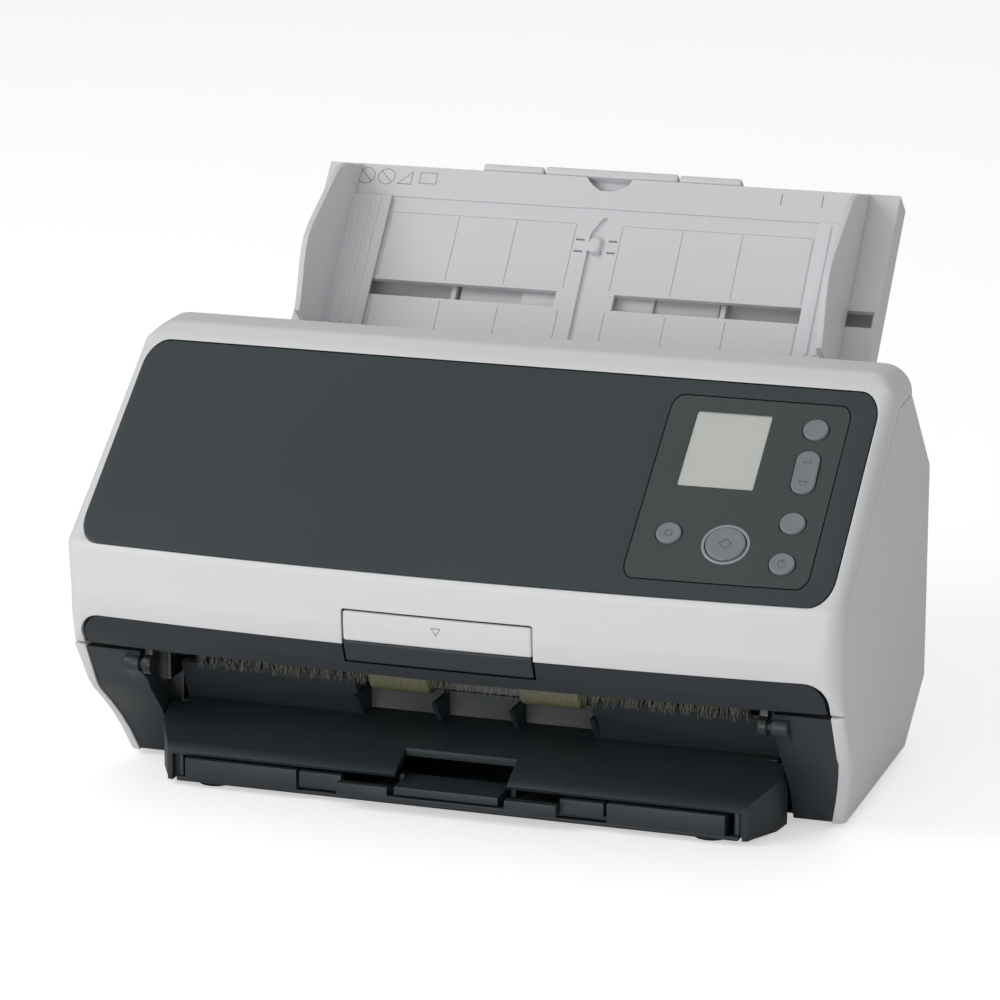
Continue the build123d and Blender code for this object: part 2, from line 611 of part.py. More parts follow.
# Main board on the deck, with the sockets at the rear
with BuildPart() as main_board:
    block((-100, 100), (139.4, 141.0), (42.0, 104.0))
    block((-40, -8), (137.0, 139.4), (60.0, 90.0))
    block((20, 44), (137.4, 139.4), (56.0, 80.0))
main_board.part.label = "main_board"
export_step(main_board.part, "parts/main_board.step")

# Rear cover: a hollow hump between the side covers
hump_half = 134.0
hump = [(rear_depth + 0.4, 12.0), (150.0, 16.0), (161.0, 34.0), (161.0, 126.0),
        off_chute(118.0, -14.5), off_chute(108.0, -14.5)]
hump_inner = [(rear_depth - 4, 14.6), (149.0, 18.6), (158.4, 35.0), (158.4, 122.0),
              off_chute(116.0, -17.0), (rear_depth - 4, 106.0)]
socket_z = (48.0, 58.0)
dc_x, usb_x, lan_x = 96.0, 66.0, 40.0
vent_pitch = 7.0
with BuildPart() as rear_cover:
    bar(hump, -hump_half, hump_half)
    block((-skirt_half_width + 4, skirt_half_width - 4), (rear_depth + 0.4, rear_depth + 0.4 + wall),
          (10.0, 106.0))
    bar(hump_inner, -hump_half + wall, hump_half - wall, Mode.SUBTRACT)
    for index in range(-7, 8):
        block((index * vent_pitch - 1.6, index * vent_pitch + 1.6), (155, 165), (84, 108), Mode.SUBTRACT)
    block((dc_x - 6, dc_x + 6), (155, 165), (socket_z[0] - 1, socket_z[0] + 11), Mode.SUBTRACT)
    block((usb_x - 6.5, usb_x + 6.5), (155, 165), (socket_z[0] - 1, socket_z[0] + 11), Mode.SUBTRACT)
    block((lan_x - 8.5, lan_x + 8.5), (155, 165), (socket_z[0] - 1, socket_z[0] + 14), Mode.SUBTRACT)
rear_cover.part.label = "rear_cover"
export_step(rear_cover.part, "parts/rear_cover.step")

# Power inlet with its centre pin
with BuildPart() as dc_inlet:
    block((dc_x - 5.6, dc_x + 5.6), (145.0, 160.4), (socket_z[0] - 0.6, socket_z[0] + 10.6))
    with BuildSketch(Plane.XZ.offset(box_middle - 160.4)) as bore:
        with Locations((dc_x, socket_z[0] + 5)):
            Circle(3.25)
            Circle(1.0, mode=Mode.SUBTRACT)
    extrude(bore.sketch, amount=-10, mode=Mode.SUBTRACT)
dc_inlet.part.label = "dc_inlet"
export_step(dc_inlet.part, "parts/dc_inlet.step")

# Data sockets: one square port and one wide port with a latch step
with BuildPart() as data_ports:
    block((usb_x - 6.1, usb_x + 6.1), (145.0, 160.4), (socket_z[0] - 0.6, socket_z[0] + 10.6))
    block((usb_x - 4.2, usb_x + 4.2), (150.0, 161.0), (socket_z[0] + 1.2, socket_z[0] + 9.0),
          Mode.SUBTRACT)
    block((lan_x - 8.1, lan_x + 8.1), (145.0, 160.4), (socket_z[0] - 0.6, socket_z[0] + 13.6))
    block((lan_x - 5.9, lan_x + 5.9), (148.0, 161.0), (socket_z[0] + 2.4, socket_z[0] + 10.0),
          Mode.SUBTRACT)
    block((lan_x - 3.0, lan_x + 3.0), (148.0, 161.0), (socket_z[0] + 0.8, socket_z[0] + 2.6),
          Mode.SUBTRACT)
data_ports.part.label = "data_ports"
export_step(data_ports.part, "parts/data_ports.step")

# Feet: four pads under the floor
foot_places = [(-128.0, 124.0), (128.0, 124.0), (-98.0, 20.0), (98.0, 20.0)]
with BuildPart() as feet:
    for x, depth in foot_places:
        with BuildSketch(Plane.XY) as pad:
            with Locations((x, depth - box_middle)):
                Circle(7.0)
        extrude(pad.sketch, amount=foot_height)
feet.part.label = "feet"
export_step(feet.part, "parts/feet.step")

# Screws through the floor into the covers
screw_places = [(-118.0, 70.0), (118.0, 70.0), (-118.0, 110.0), (118.0, 110.0)]
with BuildPart() as floor_screws:
    for x, depth in screw_places:
        with BuildSketch(Plane.XY.offset(floor_top)) as head:
            with Locations((x, depth - box_middle)):
                Circle(3.0)
        extrude(head.sketch, amount=1.8)
        with BuildSketch(Plane.XY.offset(floor_top + 1.8)) as drive:
            with Locations((x, depth - box_middle)):
                Rectangle(3.6, 0.8)
        extrude(drive.sketch, amount=-0.8, mode=Mode.SUBTRACT)
floor_screws.part.label = "floor_screws"
export_step(floor_screws.part, "parts/floor_screws.step")

# ---------------------------------------------------------------- stacker

lip_line = [(36.0, 25.6), (12.4, 16.5), (9.3, 14.0), (9.8, 12.6), (13.0, 13.6), (36.0, 22.8)]
flare_edge = [(112.0, 9.6), (114.2, 10.2), (115.2, 12.8), (121.4, 24.4), (122.8, 34.0)]
flare_wall = flare_edge + [(120.2, 36.0), (118.6, 25.6), (112.4, 14.0), (112.0, 14.0)]
flare_shelf = flare_edge + [(112.0, 36.0)]


def standing(side, points, z_low, height):
    """An outline of widths and depths on one side, raised from z_low."""
    face = outline(Plane.XY.offset(z_low), [(side * x, depth - box_middle) for x, depth in points])
    extrude(face, amount=height)


with BuildPart() as flares:
    for side in (-1, 1):
        standing(side, flare_shelf, foot_height, 30)
    bar(lip_line, -130, 130, Mode.INTERSECT)
with BuildPart() as stacker_plate:
    bar(lip_line, -112.0, 112.0)
    block((-22.0, 22.0), (5.0, 22.2), (8.0, 26.0), Mode.SUBTRACT)
    for side in (-1, 1):
        standing(side, flare_wall, foot_height + 0.2, 24)
    add(flares.part)
    bar([(5, 0), (40, 0), (40, 27.14), (36.0, 25.6), (12.4, 16.5), (9.3, 14.0), (5, 14.0)], -130, 130,
        Mode.INTERSECT)
stacker_plate.part.label = "stacker_plate"
export_step(stacker_plate.part, "parts/stacker_plate.step")

# Pull-out slides, one inside the other, and the stop that flips up
slide_z = (floor_top + 0.5, 11.9)
with BuildPart() as stacker_slide:
    block((-106.0, 106.0), (7.9, 118.0), slide_z)
    block((-104.0, 104.0), (11.0, 120.0), (slide_z[0] + 1.6, 20), Mode.SUBTRACT)
    block((-61.0, 61.0), (0, 11.1), (slide_z[0] - 1, 20), Mode.SUBTRACT)
stacker_slide.part.label = "stacker_slide"
export_step(stacker_slide.part, "parts/stacker_slide.step")

inner_z = (slide_z[0] + 2.0, 11.7)
stop_pivot = (19.5, 9.6)
stop_half = 20.4
with BuildPart() as stacker_extension:
    block((-59.8, 59.8), (7.9, 112.0), inner_z)
    block((-57.8, 57.8), (11.0, 113.0), (inner_z[0] + 1.2, 20), Mode.SUBTRACT)
    block((-43.0, 43.0), (0, 12), (0, 20), Mode.SUBTRACT)
    block((-43.0, 43.0), (2.8, 12.0), (inner_z[0], inner_z[0] + 1.2))
    twin_blocks((23.0, 43.0), (2.8, 6.0), (inner_z[0], inner_z[1] - 1.0))
    # ears that hold the stop
    twin_blocks((stop_half + 0.5, stop_half + 2.5), (17.0, 22.0), (inner_z[0], inner_z[1]))
    twin_rods(stop_half - 1.4, stop_half + 1.0, *stop_pivot, 1.0)
stacker_extension.part.label = "stacker_extension"
export_step(stacker_extension.part, "parts/stacker_extension.step")

with BuildPart() as paper_stop:
    block((-stop_half, stop_half), (3.4, stop_pivot[0]), (7.9, 11.2))
    rod(-stop_half, stop_half, *stop_pivot, 1.7)
    twin_rods(stop_half - 1.8, stop_half + 1, *stop_pivot, 1.0 + running_clearance, Mode.SUBTRACT)
paper_stop.part.label = "paper_stop"
export_step(paper_stop.part, "parts/paper_stop.step")

# ---------------------------------------------------------------- chute and its guides

chute_length = hypot(chute_top[0] - chute_foot[0], chute_top[1] - chute_foot[1])
guide_reach = (-75.0, -15.0)
slot_t = (-59.3, -52.2)
pinion_t = sum(slot_t) / 2
pinion_bore = 1.5
slot_x = (12.0, 118.3)
with BuildPart() as chute:
    chute_slab((-chute_half_width, chute_half_width), (-chute_length + 1.6, 0), (-3.0, 0))
    for side in (-1, 1):
        x_range = sorted((side * (chute_half_width - 3), side * chute_half_width))
        chute_slab(x_range, (-chute_length + 12, 0), (-12.0, -3.0))
        chute_slab(sorted((side * slot_x[0], side * slot_x[1])), slot_t, (-4, 1), Mode.SUBTRACT)
        # rails that hold the extension plates, open where the racks cross
        chute_slab(sorted((side * 55.2, side * 57.2)), (-chute_length + 16, -1), (-9.6, -3.0))
        chute_slab(sorted((side * 52.2, side * 57.2)), (-chute_length + 16, -70), (-10.8, -9.6))
        chute_slab(sorted((side * 54.0, side * 58.0)), (pinion_t - 11.5, pinion_t + 11.5), (-5.4, -3.0),
                   Mode.SUBTRACT)
    # shallow recess under the sheet, below the top step
    chute_slab((-104.0, 99.0), (-chute_length, -14.2), (-0.8, 1), Mode.SUBTRACT)
    chute_slab((-8.5, 8.5), (-16.0, -14.0), (-0.8, 1), Mode.SUBTRACT)
    # thumb notch in the top edge
    with BuildSketch(chute_plane(0, -4)) as notch:
        Polygon(*[(-10.7, 1), (10.5, 1), (7.8, -3.6), (3.0, -6.0), (-3.0, -6.0), (-6.5, -3.6)],
                align=None)
    extrude(notch.sketch, amount=6, mode=Mode.SUBTRACT)
    # pin for the guide pinion
    with BuildSketch(chute_plane(pinion_t, -5.3)) as pin:
        Circle(pinion_bore)
    extrude(pin.sketch, amount=2.4)
chute.part.label = "chute"
export_step(chute.part, "parts/chute.step")

# Cover snapped between the chute's side walls, behind the extensions
with BuildPart() as chute_back:
    chute_slab((-chute_half_width + 3.1, chute_half_width - 3.1), (-chute_length + 16, -0.4), (-12.0, -10.9))
chute_back.part.label = "chute_back"
export_step(chute_back.part, "parts/chute_back.step")

with BuildPart() as chute_clip:
    chute_slab((-8.6, 8.6), (-33.7, -28.2), (-0.8, 0.6))
    chute_slab((-2.6, 2.6), (-34.5, -27.4), (-0.8, 1.4))
chute_clip.part.label = "chute_clip"
export_step(chute_clip.part, "parts/chute_clip.step")

# Two pull-out extensions, each ending in a rolled bar along the chute's top edge
with BuildPart() as chute_extension:
    chute_slab((-54.2, 54.2), (-88, 0.6), (-9.2, -7.6))
    for side in (-1, 1):
        chute_slab(sorted((side * 28.6, side * 54.2)), (0.6, 3.8), (-9.2, -0.6))
chute_extension.part.label = "chute_extension"
export_step(chute_extension.part, "parts/chute_extension.step")

with BuildPart() as chute_inner_extension:
    chute_slab((-27.8, 27.8), (-84, 0.6), (-7.2, -5.6))
    chute_slab((-27.8, 27.8), (0.6, 4.2), (-7.2, -0.6))
chute_inner_extension.part.label = "chute_inner_extension"
export_step(chute_inner_extension.part, "parts/chute_inner_extension.step")

# Side guides: a foot, a fin and a toothed rack behind the chute, joined by one pinion
rack_module = 1.0
pinion_teeth = 12
pinion_radius = rack_module * pinion_teeth / 2
tooth_pitch = pi * rack_module
tooth_base, tooth_tip = 1.3, 0.7      # tooth widths at its root and its tip
tooth_out, tooth_in = 0.75, 1.05      # tooth height outside and inside the pitch line
rack_lift = (-5.2, -3.4)
fin_inner = 105.5
fin_edge = [(-0.8, 0.8), (-7.6, 13.0), (-11.0, 18.4), (-16.6, 23.4), (-29.0, 28.8), (-42.0, 33.8), (-50.0, 36.6),
            (-55.5, 37.6), (-61.5, 36.8), (-84.0, 28.5)]
for name, side in (("left_guide", -1), ("right_guide", 1)):
    rise = -side                       # the left rack runs above the pinion, the right one below it
    pitch_line = pinion_t + rise * pinion_radius
    root_line, tip_line = pitch_line + rise * tooth_in, pitch_line - rise * tooth_out
    back_line = pitch_line + rise * 4.2
    stem_x = sorted((side * 92.0, side * 102.0))
    with BuildPart() as guide:
        chute_slab(sorted((side * 89.5, side * (fin_inner + 1))), guide_reach, (0.3, 1.7))
        for ridge in (93.5, 97.5, 101.5):
            chute_slab(sorted((side * ridge, side * (ridge + 1.6))), (-74.0, -16.5), (1.6, 2.3))
        fin_x = fin_inner if side > 0 else -fin_inner - 2.2
        fin_plane = Plane(origin=chute_plane().origin + Vector(fin_x, 0, 0),
                          x_dir=(0, chute_cos, chute_sin), z_dir=(1, 0, 0))
        with BuildSketch(fin_plane) as fin:
            with BuildLine():
                Spline(*fin_edge)
                Polyline(fin_edge[-1], (fin_edge[-1][0], 0.4), (-0.8, 0.4), fin_edge[0])
            make_face()
        extrude(fin.sketch, amount=2.2)
        chute_slab(stem_x, (slot_t[0] + 0.6, slot_t[1] - 0.6), (rack_lift[0], 0.5))
        chute_slab(stem_x, sorted((pinion_t, back_line)), rack_lift)
        chute_slab(sorted((side * -20.0, side * 102.0)), sorted((root_line, back_line)), rack_lift)
        for index in range(-1, 28):
            middle = side * (index - 0.5) * tooth_pitch
            tooth = [(middle - tooth_base / 2, root_line + rise * 0.2), (middle + tooth_base / 2, root_line + rise * 0.2),
                     (middle + tooth_tip / 2, tip_line), (middle - tooth_tip / 2, tip_line)]
            extrude(outline(chute_plane(0, rack_lift[0]), tooth), amount=rack_lift[1] - rack_lift[0])
    guide.part.label = name
    export_step(guide.part, f"parts/{name}.step")

with BuildPart() as guide_pinion:
    with BuildSketch(chute_plane(pinion_t, rack_lift[0])) as gear:
        Circle(pinion_radius - tooth_in)
        for index in range(pinion_teeth):
            with PolarLocations(0, 1, start_angle=index * 360 / pinion_teeth):
                Polygon((pinion_radius - tooth_in - 0.3, -tooth_base / 2), (pinion_radius + tooth_out, -tooth_tip / 2),
                        (pinion_radius + tooth_out, tooth_tip / 2), (pinion_radius - tooth_in - 0.3, tooth_base / 2),
                        align=None)
        Circle(pinion_bore + running_clearance, mode=Mode.SUBTRACT)
    extrude(gear.sketch, amount=rack_lift[1] - rack_lift[0])
guide_pinion.part.label = "guide_pinion"
export_step(guide_pinion.part, "parts/guide_pinion.step")

whole = Compound([front_cover.part, release_lever.part, chute_extension.part, chute_inner_extension.part,
                  feet.part]).bounding_box()
print("box middle should be 0:", round((whole.min.Y + whole.max.Y) / 2, 3), "height", round(whole.max.Z, 2))
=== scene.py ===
import json
from math import atan2, cos, pi, radians, sin

import bmesh
import bpy
import numpy as np
from mathutils import Matrix, Vector


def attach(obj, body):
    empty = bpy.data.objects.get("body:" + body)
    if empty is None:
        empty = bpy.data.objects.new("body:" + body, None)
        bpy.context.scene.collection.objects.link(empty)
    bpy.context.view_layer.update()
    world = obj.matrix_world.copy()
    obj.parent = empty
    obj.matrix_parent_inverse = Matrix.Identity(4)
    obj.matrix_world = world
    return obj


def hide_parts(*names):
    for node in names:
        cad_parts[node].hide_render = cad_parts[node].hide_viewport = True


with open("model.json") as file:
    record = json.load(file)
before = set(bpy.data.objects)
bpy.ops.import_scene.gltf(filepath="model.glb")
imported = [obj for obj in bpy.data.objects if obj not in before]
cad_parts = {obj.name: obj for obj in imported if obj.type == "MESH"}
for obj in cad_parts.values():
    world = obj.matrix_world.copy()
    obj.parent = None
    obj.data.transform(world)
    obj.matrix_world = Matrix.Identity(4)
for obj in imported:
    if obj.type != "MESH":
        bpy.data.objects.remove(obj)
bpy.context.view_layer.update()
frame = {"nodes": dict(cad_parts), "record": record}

nodes = frame["nodes"]
print("frame loaded:", len(nodes), "nodes")

# Sizes are in millimetres. Points are (x, depth, z), and depth counts back from the brow.
body = {"halfWidth": 150.0, "boxMiddle": 105.442, "bulge": 6.6, "chinDepth": -0.6,
        "browZ": 95.2, "panelTopZ": 157.6, "panelRun": 77.9,
        "bowZ": (46.0, 54.5, 60.5, 68.0, 76.0, 95.2, 157.6, 163.0),
        "bow": (5.0, 6.0, 6.4, 6.8, 6.6, 6.6, 0.2, 0.0)}


# materials

def shaderNodes(name):
    material = bpy.data.materials.new(name)
    material.use_nodes = True
    tree = material.node_tree
    return material, tree, tree.nodes["Principled BSDF"]


def link(tree, source, output, target, socket):
    tree.links.new(source.outputs[output], target.inputs[socket])


def grain(tree, scale, detail=2.0, stretch=(1, 1, 1)):
    # Noise on Object coordinates, so that it stays on the piece as it moves.
    place = tree.nodes.new("ShaderNodeTexCoord")
    mapping = tree.nodes.new("ShaderNodeMapping")
    mapping.inputs["Scale"].default_value = stretch
    noise = tree.nodes.new("ShaderNodeTexNoise")
    noise.inputs["Scale"].default_value = scale
    noise.inputs["Detail"].default_value = detail
    link(tree, place, "Object", mapping, "Vector")
    link(tree, mapping, "Vector", noise, "Vector")
    return noise


def ramp(tree, source, low, high, positions=(0.3, 0.7)):
    blend = tree.nodes.new("ShaderNodeValToRGB")
    for stop, colour, at in zip(blend.color_ramp.elements, (low, high), positions):
        stop.color, stop.position = (*colour, 1), at
    link(tree, source, "Fac", blend, "Fac")
    return blend


def spread(tree, source, low, high):
    span = tree.nodes.new("ShaderNodeMapRange")
    span.inputs["To Min"].default_value, span.inputs["To Max"].default_value = low, high
    link(tree, source, "Fac", span, "Value")
    return span


def linear(colour):
    # Screen values from 0 to 255, as the light values that shaders take.
    value = np.array(colour) / 255
    return tuple(np.where(value < 0.04045, value / 12.92, ((value + 0.055) / 1.055) ** 2.4))


def moulded(name, colour, rough=0.5, grainSize=0.6, grainDepth=0.03, vary=0.04, stretch=(1, 1, 1),
            coat=0.0, metal=0.0, through=0.0):
    # Moulded or machined stock: slow colour drift, fine surface grain, uneven gloss.
    material, tree, shader = shaderNodes(name)
    base = np.array(linear(colour))
    drift = grain(tree, 9.0, 3.0)
    tint = ramp(tree, drift, tuple(base * (1 - vary)), tuple(np.minimum(base * (1 + vary), 1)))
    link(tree, tint, "Color", shader, "Base Color")
    fine = grain(tree, 1000 / grainSize, 3.0, stretch)
    gloss = spread(tree, fine, rough - 0.06, rough + 0.06)
    link(tree, gloss, "Result", shader, "Roughness")
    bump = tree.nodes.new("ShaderNodeBump")
    bump.inputs["Strength"].default_value = 0.6
    bump.inputs["Distance"].default_value = grainDepth / 1000
    link(tree, fine, "Fac", bump, "Height")
    link(tree, bump, "Normal", shader, "Normal")
    shader.inputs["Metallic"].default_value = metal
    shader.inputs["Coat Weight"].default_value = coat
    shader.inputs["Coat Roughness"].default_value = 0.12
    shader.inputs["Transmission Weight"].default_value = through
    shader.inputs["IOR"].default_value = 1.5
    return material


finishes = {
    "light_shell": moulded("shellGrey", (226, 226, 228), 0.46, 0.7, 0.05, 0.012),
    "chute": moulded("chuteGrey", (222, 222, 225), 0.5, 0.7, 0.04, 0.012),
    "dark_panel": moulded("panelSlate", (52, 62, 64), 0.5, 0.8, 0.08, 0.06),
    "bezel": moulded("bezelSlate", (62, 72, 71), 0.42, 0.7, 0.05, 0.05),
    "black_plastic": moulded("frameDark", (42, 49, 53), 0.42, 0.8, 0.05, 0.07),
    "trim": moulded("trimDark", (36, 43, 47), 0.42, 0.8, 0.05, 0.07),
    "guide_plastic": moulded("guideDark", (31, 34, 37), 0.36, 0.8, 0.03, 0.06),
    "key_plastic": moulded("keyGrey", (126, 134, 137), 0.4, 0.5, 0.03, 0.03),
    "display": moulded("displayGrey", (200, 203, 197), 0.22, 6.0, 0.0, 0.02, coat=0.6),
    "circuit_board": moulded("boardGreen", (30, 84, 52), 0.35, 2.5, 0.06, 0.18),
    "steel": moulded("turnedSteel", (170, 172, 175), 0.26, 0.25, 0.02, 0.03, (0.02, 1, 1), metal=1.0),
    "zinc_sheet": moulded("platedSheet", (186, 190, 194), 0.34, 3.0, 0.02, 0.08, metal=1.0),
    "roller_rubber": moulded("rollerOlive", (114, 114, 84), 0.42, 0.5, 0.06, 0.08, coat=0.15),
    "dark_rubber": moulded("footRubber", (24, 24, 26), 0.7, 0.5, 0.08, 0.1),
    "clear_glass": moulded("sheetGlass", (180, 200, 200), 0.08, 8.0, 0.0, 0.02, through=0.6),
    "bristle": moulded("bristleDark", (132, 130, 116), 0.55, 0.3, 0.02, 0.2),
    "light_ring": moulded("ringFrosted", (150, 156, 160), 0.3, 0.6, 0.02, 0.03, coat=0.3),
    "keyMark": moulded("keyMarkDark", (88, 94, 97), 0.5, 0.6, 0.0, 0.02),
    # shadowLine: painted shade, the grey that stands in for the shade in the moulded signs on the chute and
    # the lever
    "shadowLine": moulded("shadowLine", (128, 130, 134), 0.6, 0.6, 0.0, 0.02),
}
recordSlots = {entry["node"]: entry["material_slot"] for entry in frame["record"]["subparts"]}
print("materials made:", len(finishes))


# meshes worked out as whole arrays

def toRow(points):
    # Millimetres with depth, to metres in the row's frame.
    points = np.asarray(points, float)
    return (points - np.array([0, body["boxMiddle"], 0])) / 1000


def gridFaces(rows, columns, wrapRows=False, wrapColumns=False):
    # Corner numbers of the quads of a grid of points, row by row.
    r = np.arange(rows if wrapRows else rows - 1)
    c = np.arange(columns if wrapColumns else columns - 1)
    r, c = (a.ravel() for a in np.meshgrid(r, c, indexing="ij"))
    r2, c2 = (r + 1) % rows, (c + 1) % columns
    return np.stack([r * columns + c, r * columns + c2, r2 * columns + c2, r2 * columns + c], axis=1)


def slabFaces(rows, columns):
    # Two grids of the same points, the second one turned over, joined by a strip round their rim.
    faces, count = gridFaces(rows, columns), rows * columns
    rim = np.concatenate([np.arange(columns), np.arange(1, rows) * columns + columns - 1,
                          (rows - 1) * columns + np.arange(columns - 2, -1, -1),
                          np.arange(rows - 2, 0, -1) * columns])
    after = np.roll(rim, -1)
    sides = np.stack([rim, after, after + count, rim + count], axis=1)
    return np.concatenate([faces, faces[:, ::-1] + count, sides])


def makeObject(name, points, faces):
    mesh = bpy.data.meshes.new(name)
    mesh.from_pydata(toRow(points).tolist(), [], [list(map(int, face)) for face in faces])
    mesh.update()
    piece = bpy.data.objects.new(name, mesh)
    bpy.context.scene.collection.objects.link(piece)
    return piece


def setOutward(piece):
    work = bmesh.new()
    work.from_mesh(piece.data)
    bmesh.ops.recalc_face_normals(work, faces=work.faces)
    work.to_mesh(piece.data)
    work.free()


def smoothByAngle(piece, degreesLimit=32):
    piece.data.polygons.foreach_set("use_smooth", [True] * len(piece.data.polygons))
    piece.data.set_sharp_from_angle(angle=radians(degreesLimit))


def finish(piece, rides, material, replaced=()):
    # Gives a piece its body and the finish of its slot, and hides the nodes that it stands for.
    piece.data.materials.clear()
    piece.data.materials.append(finishes[material])
    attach(piece, rides)
    if replaced:
        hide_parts(*replaced)


def ringsSolid(name, rings, openMiddle=False):
    # A closed solid from rings of points: [ring, point, xyz]. The first and last rings are capped.
    count, across = rings.shape[:2]
    faces = gridFaces(count, across, wrapRows=openMiddle, wrapColumns=True).tolist()
    if not openMiddle:
        faces += [list(range(across))[::-1], list(range((count - 1) * across, count * across))]
    piece = makeObject(name, rings.reshape(-1, 3), faces)
    setOutward(piece)
    return piece


def roundedLine(points, radii, steps=8, closed=False):
    # The points' own path with an arc of the stated radius at each corner.
    points = np.asarray(points, float)
    count = len(points)
    radii = np.broadcast_to(radii, count)
    line = []
    for index in range(count):
        here = points[index]
        if not closed and index in (0, count - 1) or radii[index] <= 0:
            line.append(here[None])
            continue
        back, ahead = points[index - 1] - here, points[(index + 1) % count] - here
        backLength, aheadLength = np.linalg.norm(back), np.linalg.norm(ahead)
        back, ahead = back / backLength, ahead / aheadLength
        half = np.arccos(np.clip(back @ ahead, -1, 1)) / 2
        reach = min(radii[index] / np.tan(half), 0.49 * backLength, 0.49 * aheadLength)
        t = np.linspace(0, 1, steps + 1)[:, None]
        start, end = here + back * reach, here + ahead * reach
        # a circle's arc as a rational curve
        top = (1 - t) ** 2 * start + 2 * t * (1 - t) * np.sin(half) * here + t ** 2 * end
        line.append(top / ((1 - t) ** 2 + 2 * t * (1 - t) * np.sin(half) + t ** 2))
    return np.concatenate(line)


def loopInset(loop, amount):
    # A closed flat loop moved inwards along its own corner normals. The loop runs anticlockwise.
    ahead = np.roll(loop, -1, axis=0) - loop
    behind = loop - np.roll(loop, 1, axis=0)
    aheadLength, behindLength = (np.linalg.norm(leg, axis=1)[:, None] for leg in (ahead, behind))
    tangent = ahead / aheadLength + behind / behindLength
    tangent /= np.linalg.norm(tangent, axis=1)[:, None]
    inward = np.stack([-tangent[:, 1], tangent[:, 0]], axis=1)
    return loop + inward * amount


def planeOf(origin, across, up):
    # A placing frame from an origin and two directions: [origin, across, up, out].
    origin, across, up = (np.asarray(v, float) for v in (origin, across, up))
    across = across / np.linalg.norm(across)
    out = np.cross(across, up)
    out /= np.linalg.norm(out)
    return origin, across, np.cross(out, across), out


def onPlane(plane, loop, lift):
    origin, across, up, out = plane
    return origin + loop[:, :1] * across + loop[:, 1:2] * up + lift * out


def pad(name, plane, loop, low, high, edge=0.0, steps=4, dish=0.0):
    # A loop raised from low to high, with a quarter round of radius edge at its top.
    angles = np.linspace(0, pi / 2, steps + 1)
    rings = [onPlane(plane, loop, low)]
    if edge:
        rings += [onPlane(plane, loopInset(loop, edge * (1 - np.cos(a))), high - edge + edge * np.sin(a))
                  for a in angles]
    else:
        rings.append(onPlane(plane, loop, high))
    if dish:
        centre = loop.mean(axis=0)
        for part in (0.8, 0.5, 0.2):
            inner = centre + (loopInset(loop, edge) - centre) * part
            rings.append(onPlane(plane, inner, high - dish * (1 - part ** 2)))
    return ringsSolid(name, np.array(rings))


def roundedBox(width, height, radius, middle=(0, 0), steps=8):
    x, y = width / 2, height / 2
    corners = np.array([(-x, -y), (x, -y), (x, y), (-x, y)]) + np.array(middle)
    return roundedLine(corners, radius, steps, closed=True)


def circle(radius, middle=(0, 0), count=48):
    angles = np.arange(count) * 2 * pi / count
    return np.stack([np.cos(angles), np.sin(angles)], axis=1) * radius + np.array(middle)


def sidePlane(x):
    # Depth and height as the plane's own axes, looking along +X.
    return planeOf((x, 0, 0), (0, 1, 0), (0, 0, 1))


def apply(piece):
    # Bakes a piece's modifiers into its mesh.
    bpy.context.view_layer.update()
    evaluated = piece.evaluated_get(bpy.context.evaluated_depsgraph_get())
    mesh = bpy.data.meshes.new_from_object(evaluated)
    piece.modifiers.clear()
    old = piece.data
    piece.data = mesh
    bpy.data.meshes.remove(old)


def cut(piece, cutters, operation="DIFFERENCE"):
    # Booleans a piece with closed cutters, one after another, and removes them.
    for cutter in cutters:
        modifier = piece.modifiers.new("cut", "BOOLEAN")
        modifier.operation, modifier.solver, modifier.object = operation, "EXACT", cutter
        apply(piece)
        bpy.data.objects.remove(cutter)


def softenEdges(piece, width, angle=30, segments=3):
    modifier = piece.modifiers.new("softEdge", "BEVEL")
    modifier.limit_method, modifier.angle_limit = "ANGLE", radians(angle)
    modifier.width, modifier.segments = width / 1000, segments
    modifier.use_clamp_overlap = True
    modifier.miter_outer = "MITER_ARC"


def fromNode(node, edge, keepFaces=False):
    # A merged copy of a node with softened edges. Flat faces are joined, unless they're to be kept.
    piece = bpy.data.objects.new(node + "_form", nodes[node].data.copy())
    bpy.context.scene.collection.objects.link(piece)
    work = bmesh.new()
    work.from_mesh(piece.data)
    bmesh.ops.remove_doubles(work, verts=work.verts, dist=0.00001)
    if not keepFaces:
        bmesh.ops.dissolve_limit(work, angle_limit=radians(0.6), verts=work.verts, edges=work.edges)
    work.to_mesh(piece.data)
    work.free()
    if edge:
        softenEdges(piece, edge)
        apply(piece)
    smoothByAngle(piece, 34)
    return piece


# the curved front

def bowAt(z):
    # How far the middle of the front stands before its ends, at height z.
    return np.interp(z, body["bowZ"], body["bow"])


def bowed(x, depth, z):
    # The depth at x of a level whose ends stand at depth.
    return depth - bowAt(z) * (1 - np.minimum((x / body["halfWidth"]) ** 2, 1))


def slopeDepth(x, z):
    rise = (z - body["browZ"]) / (body["panelTopZ"] - body["browZ"])
    bulge = body["bulge"] * (1 - (x / body["halfWidth"]) ** 2) * (1 - rise)
    return body["panelRun"] * rise + body["chinDepth"] - bulge


def slopePlane(x, z):
    # The tangent plane of the slope at x and z.
    step = 0.5
    origin = np.array([x, slopeDepth(x, z), z])
    across = np.array([2 * step, slopeDepth(x + step, z) - slopeDepth(x - step, z), 0])
    up = np.array([0, slopeDepth(x, z + step) - slopeDepth(x, z - step), 2 * step])
    return planeOf(origin, across, up)


def slopeLoop(loop, lift):
    # A loop of (x, height) laid on the slope and moved out from it by lift.
    loop = np.asarray(loop, float)
    slant = atan2(body["panelTopZ"] - body["browZ"], body["panelRun"])
    depth = slopeDepth(loop[:, 0], loop[:, 1])
    return np.stack([loop[:, 0], depth - lift * sin(slant), loop[:, 1] + lift * cos(slant)], axis=1)


